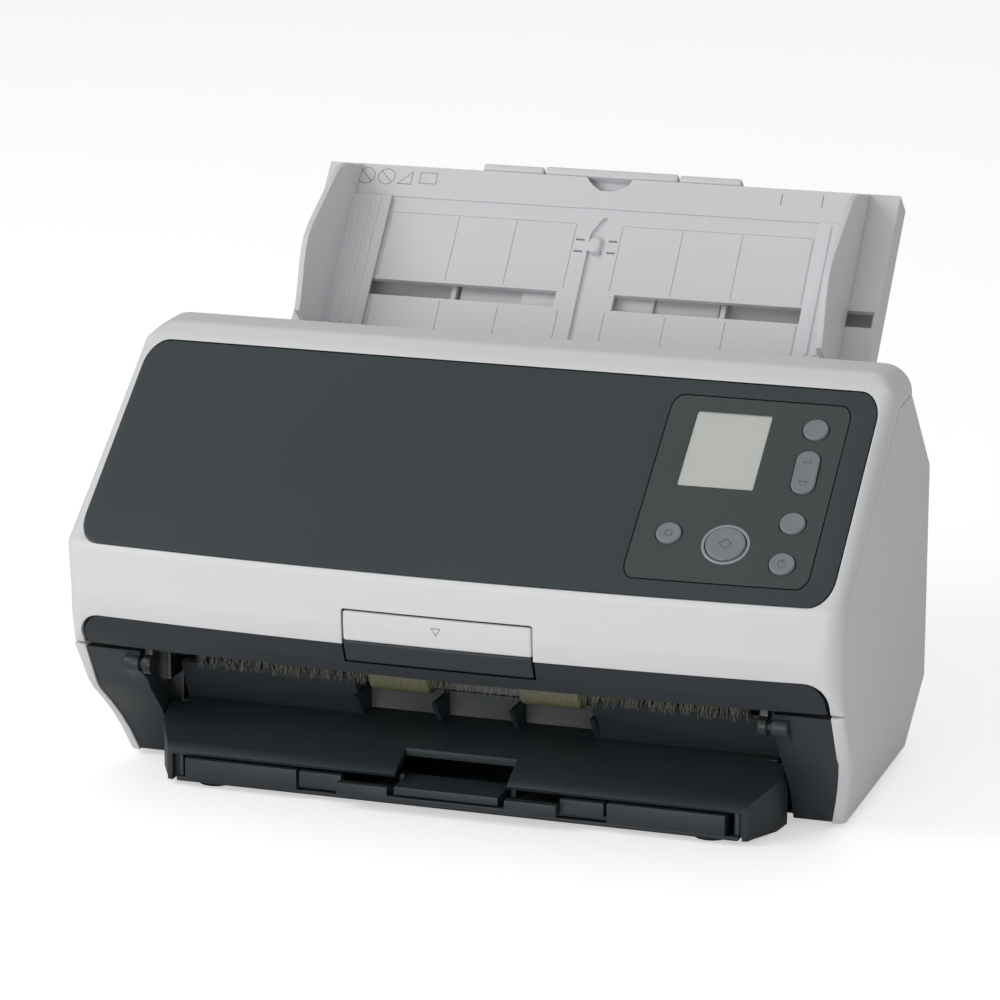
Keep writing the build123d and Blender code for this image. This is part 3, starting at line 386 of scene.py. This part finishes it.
frontShell = {
    "profile": [(6.4, 54.9), (3.0, 60.5), (0.4, 68.0), (-0.6, 76.0), (-0.6, 95.2), (79.4, 159.3),
                (86.0, 163.0), (104.0, 163.0), (132.4, 125.2)],
    "corners": [0, 0, 0, 6, 4.5, 16, 7, 6, 0],
    "crease": [(8.7, 54.9), (8.6, 60.5), (8.6, 68.0), (8.6, 76.0), (8.6, 95.0), (84.0, 150.6), (87.0, 150.9),
               (104.0, 151.8), (133.0, 123.0)],
    "sideRound": [4, 5, 6.5, 8, 5.5, 6.5, 11.6, 11.6, 8], "wall": 2.4,
    "rearHalf": 146.3, "narrowing": (6.5, 7.0, 7.25), "rearRim": (7.1, 1.5),
    "creaseGap": 0.4, "across": 61, "arc": 8, "back": 3, "spacing": 5,
    "panelRaise": 0.3, "panelCut": (290.8, 61.7, 8.4), "exitCut": (290.6, 60, 9, (0, 38)),
    "leverCut": (74.0, 21.8, 1.2, (0, 70.9)),
}


def profileTrack(spec, steps=10):
    # The rounded profile, with the crease point and the side rounding that go with each of its points.
    corners = np.array(spec["profile"], float)
    line = roundedLine(corners, spec["corners"], steps)
    dense = [line[:1]]
    for start, end in zip(line[:-1], line[1:]):
        parts = max(1, int(np.linalg.norm(end - start) // spec["spacing"]))
        dense.append(start + (end - start) * (np.arange(1, parts + 1)[:, None] / parts))
    line = np.concatenate(dense)
    # how far along the unrounded profile each point is, as a corner number
    legs = corners[1:] - corners[:-1]
    along = []
    for point in line:
        part = np.clip(((point - corners[:-1]) * legs).sum(axis=1) / (legs ** 2).sum(axis=1), 0, 1)
        gap = np.linalg.norm(corners[:-1] + legs * part[:, None] - point, axis=1)
        leg = int(np.argmin(gap))
        along.append(leg + part[leg])
    numbers = np.arange(len(corners))
    crease = np.array(spec["crease"], float)
    creaseAt = np.stack([np.interp(along, numbers, crease[:, k]) for k in (0, 1)], axis=1)
    return line, creaseAt, np.interp(along, numbers, spec["sideRound"]), np.array(along)


def makeFrontShell(spec):
    # Each level runs across the face, turns a quarter circle at each side and goes back to the crease.
    line, crease, turn, along = profileTrack(spec)
    half = np.interp(along, spec["narrowing"], [body["halfWidth"], body["halfWidth"], spec["rearHalf"]])
    inward = crease - line
    length = np.linalg.norm(inward, axis=1)
    inward /= length[:, None]
    rimStart, rimReach = spec["rearRim"]
    length = np.where(along > rimStart, turn + rimReach, length)
    turn = np.minimum(turn, length - spec["creaseGap"])
    flat = np.linspace(-1, 1, spec["across"])
    angles = np.linspace(0, pi / 2, spec["arc"] + 1)[1:]
    back = np.linspace(0, 1, spec["back"] + 1)[1:]
    left = slice(spec["across"], None)
    rows = []
    for (depth, z), step, reach, radius, edge in zip(line, inward, length, turn, half):
        x = np.concatenate([flat * (edge - radius), edge - radius + radius * np.sin(angles),
                            np.full(spec["back"], edge)])
        off = np.concatenate([flat * 0, radius * (1 - np.cos(angles)), radius + back * (reach - radius)])
        x = np.concatenate([-x[left][::-1], x])
        off = np.concatenate([off[left][::-1], off])
        rows.append(np.stack([x, bowed(x, depth, z) + step[0] * off, z + step[1] * off], axis=1))
    grid = np.array(rows)
    piece = makeObject("front_cover_shell", grid.reshape(-1, 3), gridFaces(*grid.shape[:2]))
    wall = piece.modifiers.new("wall", "SOLIDIFY")
    wall.thickness, wall.offset = spec["wall"] / 1000, -1
    wall.use_even_offset = False
    apply(piece)
    return piece


def throughCut(name, loop, nearDepth, farDepth):
    # A cutter that runs front to back: a loop of (x, z) carried in depth.
    loop = np.asarray(loop, float)
    rings = [np.stack([loop[:, 0], np.full(len(loop), depth), loop[:, 1]], axis=1)
             for depth in (nearDepth, farDepth)]
    return ringsSolid(name, np.array(rings))


panelMiddle = (body["browZ"] + body["panelTopZ"]) / 2 + frontShell["panelRaise"]
shell = makeFrontShell(frontShell)
cut(shell, [
    throughCut("panelOpening", roundedBox(*frontShell["panelCut"], (0, panelMiddle)), -30, 88),
    throughCut("exitOpening", roundedBox(*frontShell["exitCut"]), -30, 30),
    throughCut("leverOpening", roundedBox(*frontShell["leverCut"]), -30, 6),
])
softenEdges(shell, 0.35, 50, 2)
apply(shell)
smoothByAngle(shell, 30)
finish(shell, "front_unit", "light_shell", ["front_cover"])
print("front shell made")


# panel and operator bezel, both slabs of the slope

panel = {"size": (289.8, 60.7, 7.9), "skin": 2.0, "edge": 0.5}
bezel = {"x": (67.2, 135.8), "z": (100.6, 153.0), "corner": 4.5, "ownCorner": 4.1, "gap": (0.9, 0.8),
         "keyGap": 0.4, "ringGap": 1.65, "edge": 0.4}
keys = {
    "menu_button": (124.0, 145.3, 4.75), "manual_feed_button": (124.5, 118.7, 4.75),
    "power_button": (124.5, 107.4, 4.75), "stop_button": (80.5, 113.6, 4.75),
    "scan_button": (102.3, 111.7, 7.4),
}
rocker = {"place": (124.3, 133.1), "size": (8.9, 19.6, 4.4), "hole": (9.7, 20.4, 4.85)}
display = {"low": (78.0, 126.9), "high": (106.6, 148.4), "sunk": 0.45, "corner": 0.7, "gap": 0.2,
           "paneCorner": 0.6}
throughSlope, throughSkin = (-60, 120), (-8, 8)
# each cap: how far it reaches down and up, its edge's radius, and the depth of its dish
keyCap = {"low": -3.8, "high": 0.95, "edge": 0.7, "dish": 0.35}
rockerCap = {"low": -2.6, "high": 0.9, "edge": 0.6, "dish": 0.25}


def slopeSlab(name, loop, low, high, rows=46, columns=49):
    # A slab that follows the slope, from low to high off it, cut to a loop of (x, z).
    loop = np.asarray(loop, float)
    lowZ, highZ = loop[:, 1].min() - 3, loop[:, 1].max() + 3
    lowX, highX = loop[:, 0].min() - 3, loop[:, 0].max() + 3
    x, z = np.meshgrid(np.linspace(lowX, highX, columns), np.linspace(lowZ, highZ, rows))
    flat = np.stack([x.ravel(), z.ravel()], axis=1)
    top, under = slopeLoop(flat, high), slopeLoop(flat, low)
    piece = makeObject(name, np.concatenate([top, under]), slabFaces(rows, columns))
    setOutward(piece)
    cut(piece, [throughCut(name + "Edge", loop, *throughSlope)], "INTERSECT")
    return piece


def middleAndSize(low, high):
    return ((low[0] + high[0]) / 2, (low[1] + high[1]) / 2), (high[0] - low[0], high[1] - low[1])


bezelMiddle, bezelSize = middleAndSize((bezel["x"][0], bezel["z"][0]), (bezel["x"][1], bezel["z"][1]))
displayMiddle, displaySize = middleAndSize(display["low"], display["high"])
panelLoop = roundedBox(*panel["size"], (0, panelMiddle))
panelSkin = slopeSlab("front_panel_skin", panelLoop, -panel["skin"], 0)
bezelLoop = roundedBox(*bezelSize, bezel["corner"], bezelMiddle)
cut(panelSkin, [throughCut("bezelOpening", bezelLoop, *throughSlope)])
softenEdges(panelSkin, panel["edge"], 45, 3)
apply(panelSkin)
smoothByAngle(panelSkin, 34)
finish(panelSkin, "front_unit", "dark_panel", ["front_panel"])

bezelLoop = roundedBox(bezelSize[0] - bezel["gap"][0], bezelSize[1] - bezel["gap"][1], bezel["ownCorner"],
                       bezelMiddle)
bezelSkin = slopeSlab("operator_bezel_skin", bezelLoop, -panel["skin"], 0.0, 30)
displayLoop = roundedBox(*displaySize, display["corner"], displayMiddle)
holes = [throughCut("displayHole", displayLoop, *throughSlope)]
for name, (x, z, radius) in keys.items():
    extra = bezel["ringGap"] if name == "scan_button" else bezel["keyGap"]
    holes.append(pad(name + "Hole", slopePlane(x, z), circle(radius + extra), *throughSkin))
rockerPlane = slopePlane(*rocker["place"])
holes.append(pad("rockerHole", rockerPlane, roundedBox(*rocker["hole"]), *throughSkin))
cut(bezelSkin, holes)
softenEdges(bezelSkin, bezel["edge"], 45, 3)
apply(bezelSkin)
smoothByAngle(bezelSkin, 34)
finish(bezelSkin, "front_unit", "bezel", ["operator_bezel"])
print("panel and bezel made")

# buttons: a rounded cap with a shallow dish, and the mark that says what it does
for name, (x, z, radius) in keys.items():
    cap = pad(name + "_cap", slopePlane(x, z), circle(radius), steps=5, **keyCap)
    smoothByAngle(cap, 50)
    finish(cap, name.replace("_button", "_key"), "key_plastic", [name])

rockerPad = pad("rocker_key_cap", rockerPlane, roundedBox(*rocker["size"]), steps=5, **rockerCap)
smoothByAngle(rockerPad, 50)
finish(rockerPad, "rocker", "key_plastic", ["rocker_key"])


# the marks on the keys: outlines about the middle of a key, and the part of each that is left open
marks = {
    "thick": 0.05, "diamond": [(0, -2.6), (2.6, 0), (0, 2.6), (-2.6, 0)], "diamondHole": 0.78,
    "square": (2.8, 2.8, 0.5), "squareHole": 0.7, "ringRadii": (1.7, 1.35),
    "bar": (0.4, 1.7, 0.1, (0, 1.2)), "barLift": 0.68,
    "triangle": [(-1.9, -1.4), (1.9, -1.4), (0, 1.6)], "triangleHole": 0.74,
    "rockerUp": 5.6, "rockerHoleUp": 5.55, "rockerLift": 0.72,
}


def markOn(name, plane, loop, rides, material="keyMark", lift=0.62, hole=None):
    # A thin mark on a key or on the shell, an outline where it has a hole: print on a key; on the chute and
    # the lever, a grey sheet of painted shade that stands in for the shade of a moulded sign.
    top = lift + marks["thick"]
    if hole is None:
        mark = pad(name, plane, loop, lift, top)
    else:
        levels = ((loop, lift), (loop, top), (hole, top), (hole, lift))
        rings = [onPlane(plane, edge, at) for edge, at in levels]
        mark = ringsSolid(name, np.array(rings), openMiddle=True)
    finish(mark, rides, material)


scanPlace, stopPlace, powerPlace = (slopePlane(*keys[name][:2])
                                    for name in ("scan_button", "stop_button", "power_button"))
diamond, triangle = (np.array(marks[name], float) for name in ("diamond", "triangle"))
markOn("scan_mark", scanPlace, diamond, "scan_key", hole=diamond * marks["diamondHole"])
square = roundedBox(*marks["square"])
markOn("stop_mark", stopPlace, square, "stop_key", hole=square * marks["squareHole"])
outer, inner = (circle(radius) for radius in marks["ringRadii"])
markOn("power_ring_mark", powerPlace, outer, "power_key", hole=inner)
markOn("power_bar_mark", powerPlace, roundedBox(*marks["bar"]), "power_key", lift=marks["barLift"])
for name, way in (("up", 1), ("down", -1)):
    outline = triangle * (1, way)
    hole = outline * marks["triangleHole"] + (0, marks["rockerHoleUp"] * way)
    markOn(f"rocker_{name}_mark", rockerPlane, outline + (0, marks["rockerUp"] * way), "rocker",
           lift=marks["rockerLift"], hole=hole)
print("keys made")

# display: a pane sunk in the bezel
paneLoop = roundedBox(displaySize[0] - display["gap"], displaySize[1] - display["gap"],
                      display["paneCorner"], displayMiddle)
pane = slopeSlab("lcd_window_pane", paneLoop, -panel["skin"], -display["sunk"], 20)
smoothByAngle(pane)
finish(pane, "front_unit", "display", ["lcd_window"])

# scan ring: a band round the scan button, turned from this profile of radius and height
scanRing = ((7.8, -0.9), (7.8, 0.1), (8.0, 0.3), (8.7, 0.3), (8.95, 0.1), (8.95, -0.9))
ringLoops = np.array([onPlane(scanPlace, circle(radius), lift) for radius, lift in scanRing])
ring = ringsSolid("scan_ring_band", ringLoops, openMiddle=True)
smoothByAngle(ring, 50)
finish(ring, "front_unit", "light_ring", ["scan_ring"])

# release lever: a light face, a dark curved lip under it
lever = {"half": 36.4, "chinZ": (54.5, 60.5, 68.0, 76.0, 95.2), "chin": (6.4, 2.9, 0.4, -0.6, -0.6),
         "mark": [(0, -1.7), (2.0, 1.3), (-2.0, 1.3)], "markHole": 0.72, "markHoleUp": 0.02,
         "markZ": 76.2, "markLift": -0.13}
# each part: its heights, how far it's proud, its thickness, its edge and its material
leverParts = {
    "face": ((69.4, 80.9), -0.1, 2.4, 0.9, "light_shell"),
    "lip": ((60.8, 69.4), 0.0, 2.0, 0.8, "black_plastic"),
}


def chinSlab(name, half, heights, proud, skin, rows=14, columns=33):
    # A slab that follows the chin between two heights, proud of it in front and skin deep behind.
    x, z = np.meshgrid(np.linspace(-half, half, columns), np.linspace(*heights, rows))
    depth = bowed(x, np.interp(z, lever["chinZ"], lever["chin"]), z)
    layers = [np.stack([x, depth + back, z], axis=2).reshape(-1, 3) for back in (-proud, skin)]
    piece = makeObject(name, np.concatenate(layers), slabFaces(rows, columns))
    setOutward(piece)
    return piece


for name, (heights, proud, skin, edge, material) in leverParts.items():
    part = chinSlab("release_lever_" + name, lever["half"], heights, proud, skin)
    softenEdges(part, edge, 45, 4)
    apply(part)
    smoothByAngle(part, 40)
    finish(part, "lever", material, ["release_lever"])
leverDepth = bowed(0.0, body["chinDepth"], lever["markZ"])
leverPlane = planeOf((0, leverDepth, lever["markZ"]), (1, 0, 0), (0, 0, 1))
leverMark = np.array(lever["mark"], float)
# the lever's triangle mark is a thin grey sheet of painted shade, not print
markOn("release_lever_mark", leverPlane, leverMark, "lever", "shadowLine", lever["markLift"],
       leverMark * lever["markHole"] + (0, lever["markHoleUp"]))
print("lever made")

# nodes that keep their own form get softened edges
softened = {
    "left_side_cover": ("base", 0.9), "right_side_cover": ("base", 0.9), "left_cheek": ("base", 0.7),
    "right_cheek": ("base", 0.7), "lower_trim": ("front_unit", 0), "stacker_plate": ("base", 0.5),
    "stacker_slide": ("stacker", 0.5), "stacker_extension": ("stacker_inner", 0.4),
    "paper_stop": ("stop_flap", 0.5), "exit_guide": ("base", 0.3), "rear_cover": ("base", 0.7),
    "left_guide": ("left_guide_body", 0.35), "right_guide": ("right_guide_body", 0.35),
    "chute": ("base", 0), "chute_extension": ("sheet_extension", 1.2),
    "chute_inner_extension": ("sheet_inner_extension", 1.2), "base_tray": ("base", 0.4),
    "upper_guide": ("front_unit", 0.3), "lower_guide": ("base", 0.3), "dc_inlet": ("base", 0.3),
    "data_ports": ("base", 0.3), "latch_bar": ("latch", 0.3), "chute_back": ("base", 0.3),
    "pick_rollers": ("pick", 0.6), "feed_rollers": ("feed", 0.6), "eject_rollers": ("eject", 0.9),
    "brake_rollers": ("brakes", 0.6), "pinch_rollers": ("pinches", 0.6),
}
# these have holes in their flat faces, and those faces aren't joined
holed = ("rear_cover", "chute", "left_guide", "right_guide", "base_tray")
# nodes whose finish isn't the one of their slot
special = {"chute": "chute", "chute_clip": "chute", "chute_extension": "chute",
           "chute_inner_extension": "chute", "left_guide": "chute", "right_guide": "chute",
           "hinge_pins": "black_plastic", "lower_trim": "trim"}

# fine seams, the centre channel and the slits beside the clip, all cut into the copy of the chute,
# in millimetres across and up the chute from its top edge
chuteFace = {"tilt": radians(49.87), "top": (208.6, 205.3)}
chutePlane = planeOf((0, *chuteFace["top"]), (1, 0, 0), (0, cos(chuteFace["tilt"]), sin(chuteFace["tilt"])))
chuteDetail = {
    "recess": -0.8, "seamT": -21.2, "seamEnds": (9.7, 88.2), "seams": (34.8, 59.4), "seam": 0.4,
    "seamDepth": 0.35, "seamGap": 0.5, "slots": (-60.6, -50.9), "low": -113.0,
    "slits": (-28.3, -33.6), "slitEnds": (5.0, 8.6), "slitHalf": 0.45, "slitFloor": -2.7,
    "channel": [(-3.2, -112.5), (3.3, -112.5), (3.3, -20.5), (2.4, -16.9), (0.2, -18.6), (-3.2, -25.0)],
    "channelCorners": [0.1, 0.1, 3, 1.2, 2, 4], "channelFloor": -2.4, "cutTop": 2.0,
}


def chuteBox(name, x, t, low):
    middle, size = middleAndSize((min(x), min(t)), (max(x), max(t)))
    return pad(name, chutePlane, roundedBox(*size, 0.1, middle, 2), low, chuteDetail["cutTop"])


def detailChute(piece, spec):
    floor, half, seamT = spec["recess"] - spec["seamDepth"], spec["seam"] / 2, spec["seamT"]
    near, far = spec["seamEnds"]
    cutters = []
    for side in (-1, 1):
        cutters.append(chuteBox("seam", (side * near, side * far), (seamT - half, seamT + half), floor))
        for x in spec["seams"] + (near, far):
            for ends in ((spec["slots"][1], seamT - spec["seamGap"]), (spec["low"], spec["slots"][0])):
                cutters.append(chuteBox("seam", (side * x - half, side * x + half), ends, floor))
        for t in spec["slits"]:
            ends, slit = [side * x for x in spec["slitEnds"]], (t - spec["slitHalf"], t + spec["slitHalf"])
            cutters.append(chuteBox("slit", ends, slit, spec["slitFloor"]))
    channel = roundedLine(spec["channel"], spec["channelCorners"], 5, closed=True)
    cutters.append(pad("channel", chutePlane, channel, spec["channelFloor"], spec["cutTop"]))
    cut(piece, cutters)


sideRim = {"z": (0.0, 11.6, 19.0, 25.6, 35.2, 45.0, 53.9),
           "depth": (41.3, 35.7, 31.0, 25.6, 16.5, 11.0, 6.3), "near": 0.5,
           "top": 54.2, "outer": 147.0, "leanZ": (2.0, 34.0), "lean": (5.0, 0.0), "round": 3.6}


def roundSideRim(piece, spec):
    # Rounds the front outer corner of a side cover below the seam.
    work = bmesh.new()
    work.from_mesh(piece.data)
    places = np.array([v.co[:] for v in work.verts]) * 1000 + (0, body["boxMiddle"], 0)
    lean = np.interp(places[:, 2], spec["leanZ"], spec["lean"])
    rimDepth = np.interp(places[:, 2], spec["z"], spec["depth"])
    onRim = np.abs(places[:, 1] - rimDepth) < spec["near"]
    onRim &= (np.abs(places[:, 0]) > spec["outer"] - lean) & (places[:, 2] < spec["top"])
    edges = [e for e in work.edges if onRim[e.verts[0].index] and onRim[e.verts[1].index]]
    bmesh.ops.bevel(work, geom=edges, offset=spec["round"] / 1000, segments=5, profile=0.5, affect="EDGES")
    work.to_mesh(piece.data)
    work.free()
    return len(edges)


for node, (rides, edge) in softened.items():
    isSideCover = node.endswith("side_cover")
    piece = fromNode(node, 0 if isSideCover else edge, node in holed)
    if isSideCover:
        print(node, "rim edges rounded:", roundSideRim(piece, sideRim))
        softenEdges(piece, edge, 30)
        apply(piece)
        smoothByAngle(piece, 34)
    if node == "chute":
        detailChute(piece, chuteDetail)
        piece.data.polygons.foreach_set("use_smooth", [False] * len(piece.data.polygons))
    finish(piece, rides, special.get(node, recordSlots[node]), [node])
print("softened nodes:", len(softened))

# the clip lies flush with the chute, and only its knob stands up
clip = {"arms": (17.0, 4.1, 0.8, (0, -30.95)), "knob": (5.2, 7.0, 2.2, (0.05, -30.95)), "low": -2.6,
        "armsTop": -0.72, "armsEdge": 0.3, "knobTop": 1.35, "knobEdge": 1.3}
arms = pad("chute_clip_arms", chutePlane, roundedBox(*clip["arms"]), clip["low"], clip["armsTop"],
           clip["armsEdge"])
smoothByAngle(arms, 40)
finish(arms, "base", "chute", ["chute_clip"])
knob = pad("chute_clip_knob", chutePlane, roundedBox(*clip["knob"]), clip["low"], clip["knobTop"],
           clip["knobEdge"], 6)
smoothByAngle(knob, 60)
finish(knob, "base", "chute")

# moulded signs on the chute's top edge: two barred rings, a triangle, a page and the size lines, drawn as
# thin grey sheets whose grey is painted shade of the moulding
signs = {
    "lift": 0.01, "rings": {"first": -103.0, "second": -94.3}, "ringT": -5.5, "ringRadii": (3.7, 3.45),
    "bar": (0.25, 6.9, 0.1),
    "triangle": [(-89.4, -8.6), (-83.2, -8.6), (-83.2, -2.4)], "triangleHole": 0.86,
    "page": (7.4, 5.2, 0.2), "pageHole": (6.95, 4.75, 0.15), "pagePlace": (-76.3, -5.2),
    "sizeLines": {"small": 72.2, "middle": 89.0}, "sizeLine": (0.35, 5.3, 0.1), "sizeT": -4.7,
}


def signOn(name, loop, hole=None):
    # each sign is a thin grey sheet of painted shade laid on the chute
    markOn(name, chutePlane, loop, "base", "shadowLine", signs["lift"], hole)


slant = np.array([[1, 1], [-1, 1]]) / np.sqrt(2)
for name, x in signs["rings"].items():
    middle = np.array([x, signs["ringT"]])
    outer, inner = (circle(radius, middle) for radius in signs["ringRadii"])
    signOn(name + "_ring_sign", outer, inner)
    signOn(name + "_bar_sign", roundedBox(*signs["bar"]) @ slant + middle)
corner, kept = np.array(signs["triangle"]), signs["triangleHole"]
signOn("triangle_sign", corner, corner * kept + corner.mean(axis=0) * (1 - kept))
signOn("page_sign", roundedBox(*signs["page"], signs["pagePlace"]),
       roundedBox(*signs["pageHole"], signs["pagePlace"]))
for name, x in signs["sizeLines"].items():
    signOn(name + "_size_line", roundedBox(*signs["sizeLine"], (x, signs["sizeT"])))

# webs that close the gaps between the stacker's slide and its flared ends
webs = {"x": 111.2, "thick": 1.5, "face": (24.0, 10.0, 0.4, (24.6, 7.4))}
for side in (-1, 1):
    webPlane = sidePlane(webs["x"] * side - webs["thick"] / 2)
    web = pad("stacker_end_web", webPlane, roundedBox(*webs["face"]), 0, webs["thick"])
    finish(web, "base", "black_plastic")
print("clip, signs and webs made")

bristles = {"count": 900, "half": 108.5, "spare": 1, "depth": 30.0, "top": 54.6, "long": (9.0, 13.6),
            "thick": 0.13, "tip": 0.45, "scatter": 0.5, "lean": 0.35, "leanPart": 0.5, "curl": 0.22,
            "bend": 6, "levels": 5, "holder": (3.0, 1.2, 0.4, (30.4, 54.2)), "holderHalf": 110}


def makeBristles(spec):
    # Each bristle is a three-sided tapering stem, bent by a small random amount.
    rng = np.random.default_rng(7)
    count = spec["count"]
    x = np.linspace(-spec["half"], spec["half"], count) + rng.normal(0, spec["scatter"], count)
    long = rng.uniform(*spec["long"], count)
    lean = rng.normal(0, spec["lean"], count)
    curl = rng.normal(0, spec["curl"], (2, count))
    levels, around = spec["levels"], 3
    along = np.linspace(0, 1, levels)
    angles = np.arange(around) * 2 * pi / around
    x, long, lean = (values[:, None, None] for values in (x, long, lean * spec["leanPart"]))
    sideways, forwards = (values[:, None, None] * spec["bend"] for values in (curl[0], np.abs(curl[1])))
    down = along[None, :, None] * long
    bend = along[None, :, None] ** 2
    radius = spec["thick"] * (1 - (1 - spec["tip"]) * along)[None, :, None]
    limit = spec["half"] + spec["spare"]
    px = np.clip(x + down * lean + bend * sideways + radius * np.cos(angles), -limit, limit)
    py = spec["depth"] - bend * forwards + radius * np.sin(angles)
    pz = spec["top"] - down + 0 * angles
    points = np.stack([px, py, pz], axis=3).reshape(-1, 3)
    stems = np.arange(count)[:, None, None] * levels * around
    faces = (gridFaces(levels, around, wrapColumns=True)[None] + stems).reshape(-1, 4)
    return makeObject("brush_strip_bristles", points, faces)


finish(makeBristles(bristles), "front_unit", "bristle", ["brush_strip"])
holderHalf = bristles["holderHalf"]
holder = pad("brush_strip_holder", sidePlane(-holderHalf), roundedBox(*bristles["holder"]), 0,
             2 * holderHalf)
smoothByAngle(holder)
finish(holder, "front_unit", "black_plastic", ["brush_strip"])
print("bristles made")

# every other node keeps its form and gets its finish
for name, node in nodes.items():
    node.data.materials.clear()
    node.data.materials.append(finishes[special.get(name, recordSlots[name])])
print("nodes finished")

# floor, lights and camera
studio = {"world": 0.39, "floorGlow": 0.5, "floorHalf": 6}
# each lamp: its place, what it aims at, its size in metres and its power in watts
lamps = {
    "keyLight": ((-1.5, -1.2, 1.5), (0, 0, 0.08), 1.2, 15.5),
    "fillLight": ((1.7, -0.9, 0.9), (0, 0, 0.08), 1.4, 0.8),
    "frontLight": ((-0.2, -1.7, 0.22), (0, 0, 0.05), 0.8, 8.0),
    "topLight": ((0, 0.4, 1.9), (0, 0, 0.1), 1.6, 1.6),
}


def areaLight(name, place, aim, size, power):
    data = bpy.data.lights.new(name, "AREA")
    data.energy, data.size = power, size
    lamp = bpy.data.objects.new(name, data)
    lamp.location = place
    lamp.rotation_euler = (Vector(aim) - Vector(place)).to_track_quat("-Z", "Y").to_euler()
    bpy.context.scene.collection.objects.link(lamp)


floorMesh = bpy.data.meshes.new("floor")
half = studio["floorHalf"]
floorMesh.from_pydata([(-half, -half, 0), (half, -half, 0), (half, half, 0), (-half, half, 0)], [],
                      [(0, 1, 2, 3)])
floor = bpy.data.objects.new("floor", floorMesh)
bpy.context.scene.collection.objects.link(floor)
floorWhite = moulded("floorWhite", (250, 250, 250), 0.6, 30.0, 0.0, 0.003)
floorShader = floorWhite.node_tree.nodes["Principled BSDF"]
# the camera sees the paper floor a little lighter than it lights the object
floorTree = floorWhite.node_tree
rayKind = floorTree.nodes.new("ShaderNodeLightPath")
glow = floorTree.nodes.new("ShaderNodeMapRange")
glow.inputs["To Max"].default_value = studio["floorGlow"]
link(floorTree, rayKind, "Is Camera Ray", glow, "Value")
floorShader.inputs["Emission Color"].default_value = (1, 1, 1, 1)
link(floorTree, glow, "Result", floorShader, "Emission Strength")
floor.data.materials.append(floorWhite)

for name, (place, aim, size, power) in lamps.items():
    areaLight(name, place, aim, size, power)
world = bpy.data.worlds.new("studioWorld")
world.use_nodes = True
ambient = world.node_tree.nodes["Background"]
ambient.inputs["Color"].default_value = (1, 1, 1, 1)
ambient.inputs["Strength"].default_value = studio["world"]
bpy.context.scene.world = world
bpy.context.scene.view_settings.view_transform = "Standard"

cameraPlace = {"turn": radians(18.33), "pitch": radians(15.01), "lens": 154.3, "sensor": 36.0,
               "place": (0.492975, -1.525756, 0.527296)}
cameraData = bpy.data.cameras.new("camera")
cameraData.lens, cameraData.sensor_width = cameraPlace["lens"], cameraPlace["sensor"]
camera = bpy.data.objects.new("camera", cameraData)
turn, pitch = cameraPlace["turn"], cameraPlace["pitch"]
right = Vector((cos(turn), sin(turn), 0))
back = Vector((sin(turn) * cos(pitch), -cos(turn) * cos(pitch), sin(pitch)))
upward = back.cross(right)
placing = Matrix((right, upward, back)).transposed().to_4x4()
placing.translation = cameraPlace["place"]
camera.matrix_world = placing
bpy.context.scene.collection.objects.link(camera)
bpy.context.scene.camera = camera
print("stage set")
